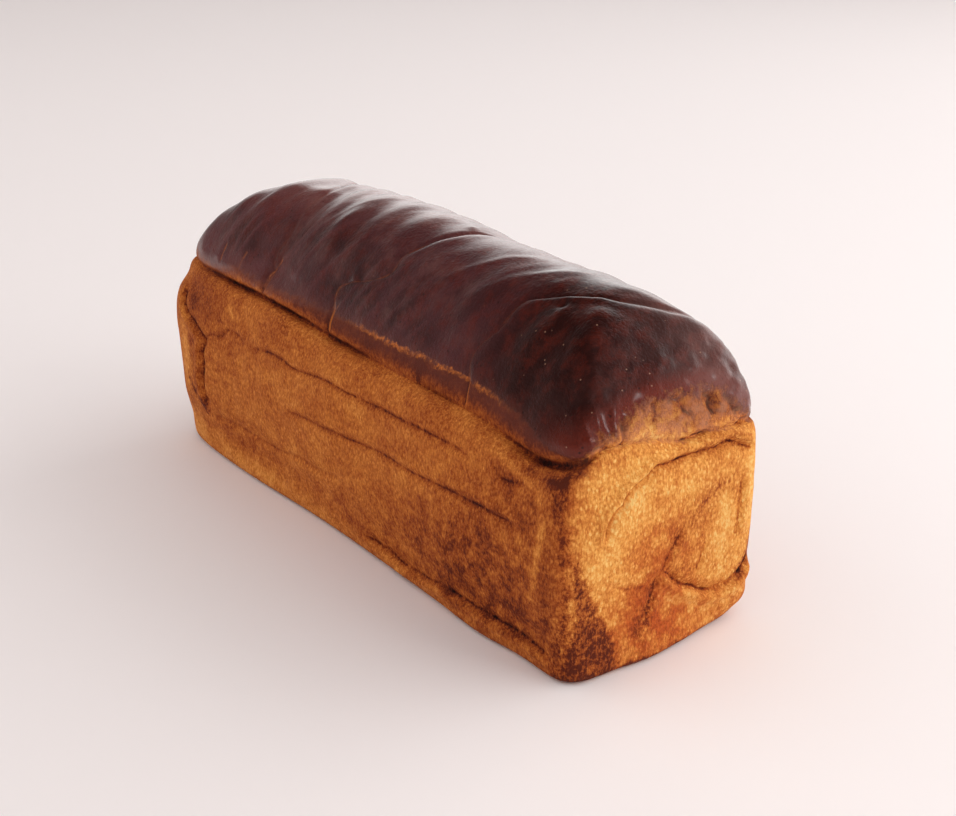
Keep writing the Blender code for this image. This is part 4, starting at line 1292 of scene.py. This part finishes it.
def lathe(name, profile, turns=96):  # profile of (radius, height), from the middle outwards
    points = [(radius * cos(2 * pi * turn / turns), radius * sin(2 * pi * turn / turns), height)
              for radius, height in profile for turn in range(turns)]
    faces = []
    for ring in range(len(profile) - 1):
        low, high = ring * turns, (ring + 1) * turns
        for turn in range(turns):
            after = (turn + 1) % turns
            faces.append((low + turn, high + turn, high + after, low + after))
    if profile[0][1] == 0:
        faces.append(tuple(range(turns)))
    mesh = bpy.data.meshes.new(name)
    mesh.from_pydata(points, [], faces)
    mesh.shade_smooth()
    made = bpy.data.objects.new(name, mesh)
    bpy.context.scene.collection.objects.link(made)
    return made


def buildSweep():
    material = bpy.data.materials.new("paleSweep")
    material.use_nodes = True
    shader = material.node_tree.nodes["Principled BSDF"]
    shader.inputs["Base Color"].default_value = linear(*studio["colour"])
    shader.inputs["Roughness"].default_value = studio["roughness"]
    floor = lathe("floor", [(radius, 0.0) for radius in (*studio["rings"], studio["flat"])])
    curve = [(studio["flat"], 0.1 * mm)]  # a hair above the floor
    for step in range(1, studio["bendSteps"] + 1):
        angle = radians(90 * step / studio["bendSteps"])
        curve.append((studio["flat"] + studio["bend"] * sin(angle), studio["bend"] * (1 - cos(angle))))
    curve.append((curve[-1][0], studio["bend"] + studio["wall"]))
    wall = lathe("backdrop", curve)
    wall.visible_glossy = False
    for part in (floor, wall):
        part.data.materials.append(material)


def addLight(name, at, size, power, tint, lighting, reflected):
    light = bpy.data.lights.new(name, "AREA")
    light.shape = "SQUARE"
    light.size = size
    light.energy = power
    light.color = tint
    lamp = bpy.data.objects.new(name, light)
    lamp.location = at
    lamp.rotation_euler = (Vector(studio["aim"]) - Vector(at)).to_track_quat("-Z", "Y").to_euler()
    lamp.visible_diffuse = lighting
    lamp.visible_glossy = reflected
    bpy.context.scene.collection.objects.link(lamp)


def buildWorld():  # even light all round; reflections are bright near the horizon and dark overhead
    world = bpy.data.worlds.new("studio")
    world.use_nodes = True
    tree = world.node_tree
    sky = tree.nodes["Background"]
    sky.inputs["Color"].default_value = (*studio["sky"], 1)
    way = addNode(tree, "TexCoord").outputs["Generated"]
    up = split(tree, way)[2]
    toward = calcVector(tree, "DOT_PRODUCT", way, studio["beyond"])
    sheen = 1.0
    for value, name in ((up, "sheen"), (up, "horizon"), (toward, "beyondSheen")):
        reach, levels = studio[name]
        sheen = calc(tree, "MULTIPLY", sheen, ramp(tree, value, *reach, *levels))
    glossy = addNode(tree, "LightPath").outputs["Is Glossy Ray"]
    feed(tree, sky.inputs["Strength"], choose(tree, glossy, studio["skyPower"], sheen))
    bpy.context.scene.world = world


buildSweep()
for light in studio["lights"]:
    addLight(*light)
buildWorld()
bpy.context.scene.view_settings.view_transform = "Standard"

camera = bpy.data.objects.new("camera", bpy.data.cameras.new("camera"))
camera.data.sensor_width = view["sensor"]
camera.data.lens = view["focal"] / view["width"] * camera.data.sensor_width
camera.data.clip_start = view["nearest"]
camera.location = view["eye"]
camera.rotation_euler = (Vector(view["target"]) - Vector(view["eye"])).to_track_quat("-Z", "Y").to_euler()
bpy.context.scene.collection.objects.link(camera)
bpy.context.scene.camera = camera
print("studio and camera in place")
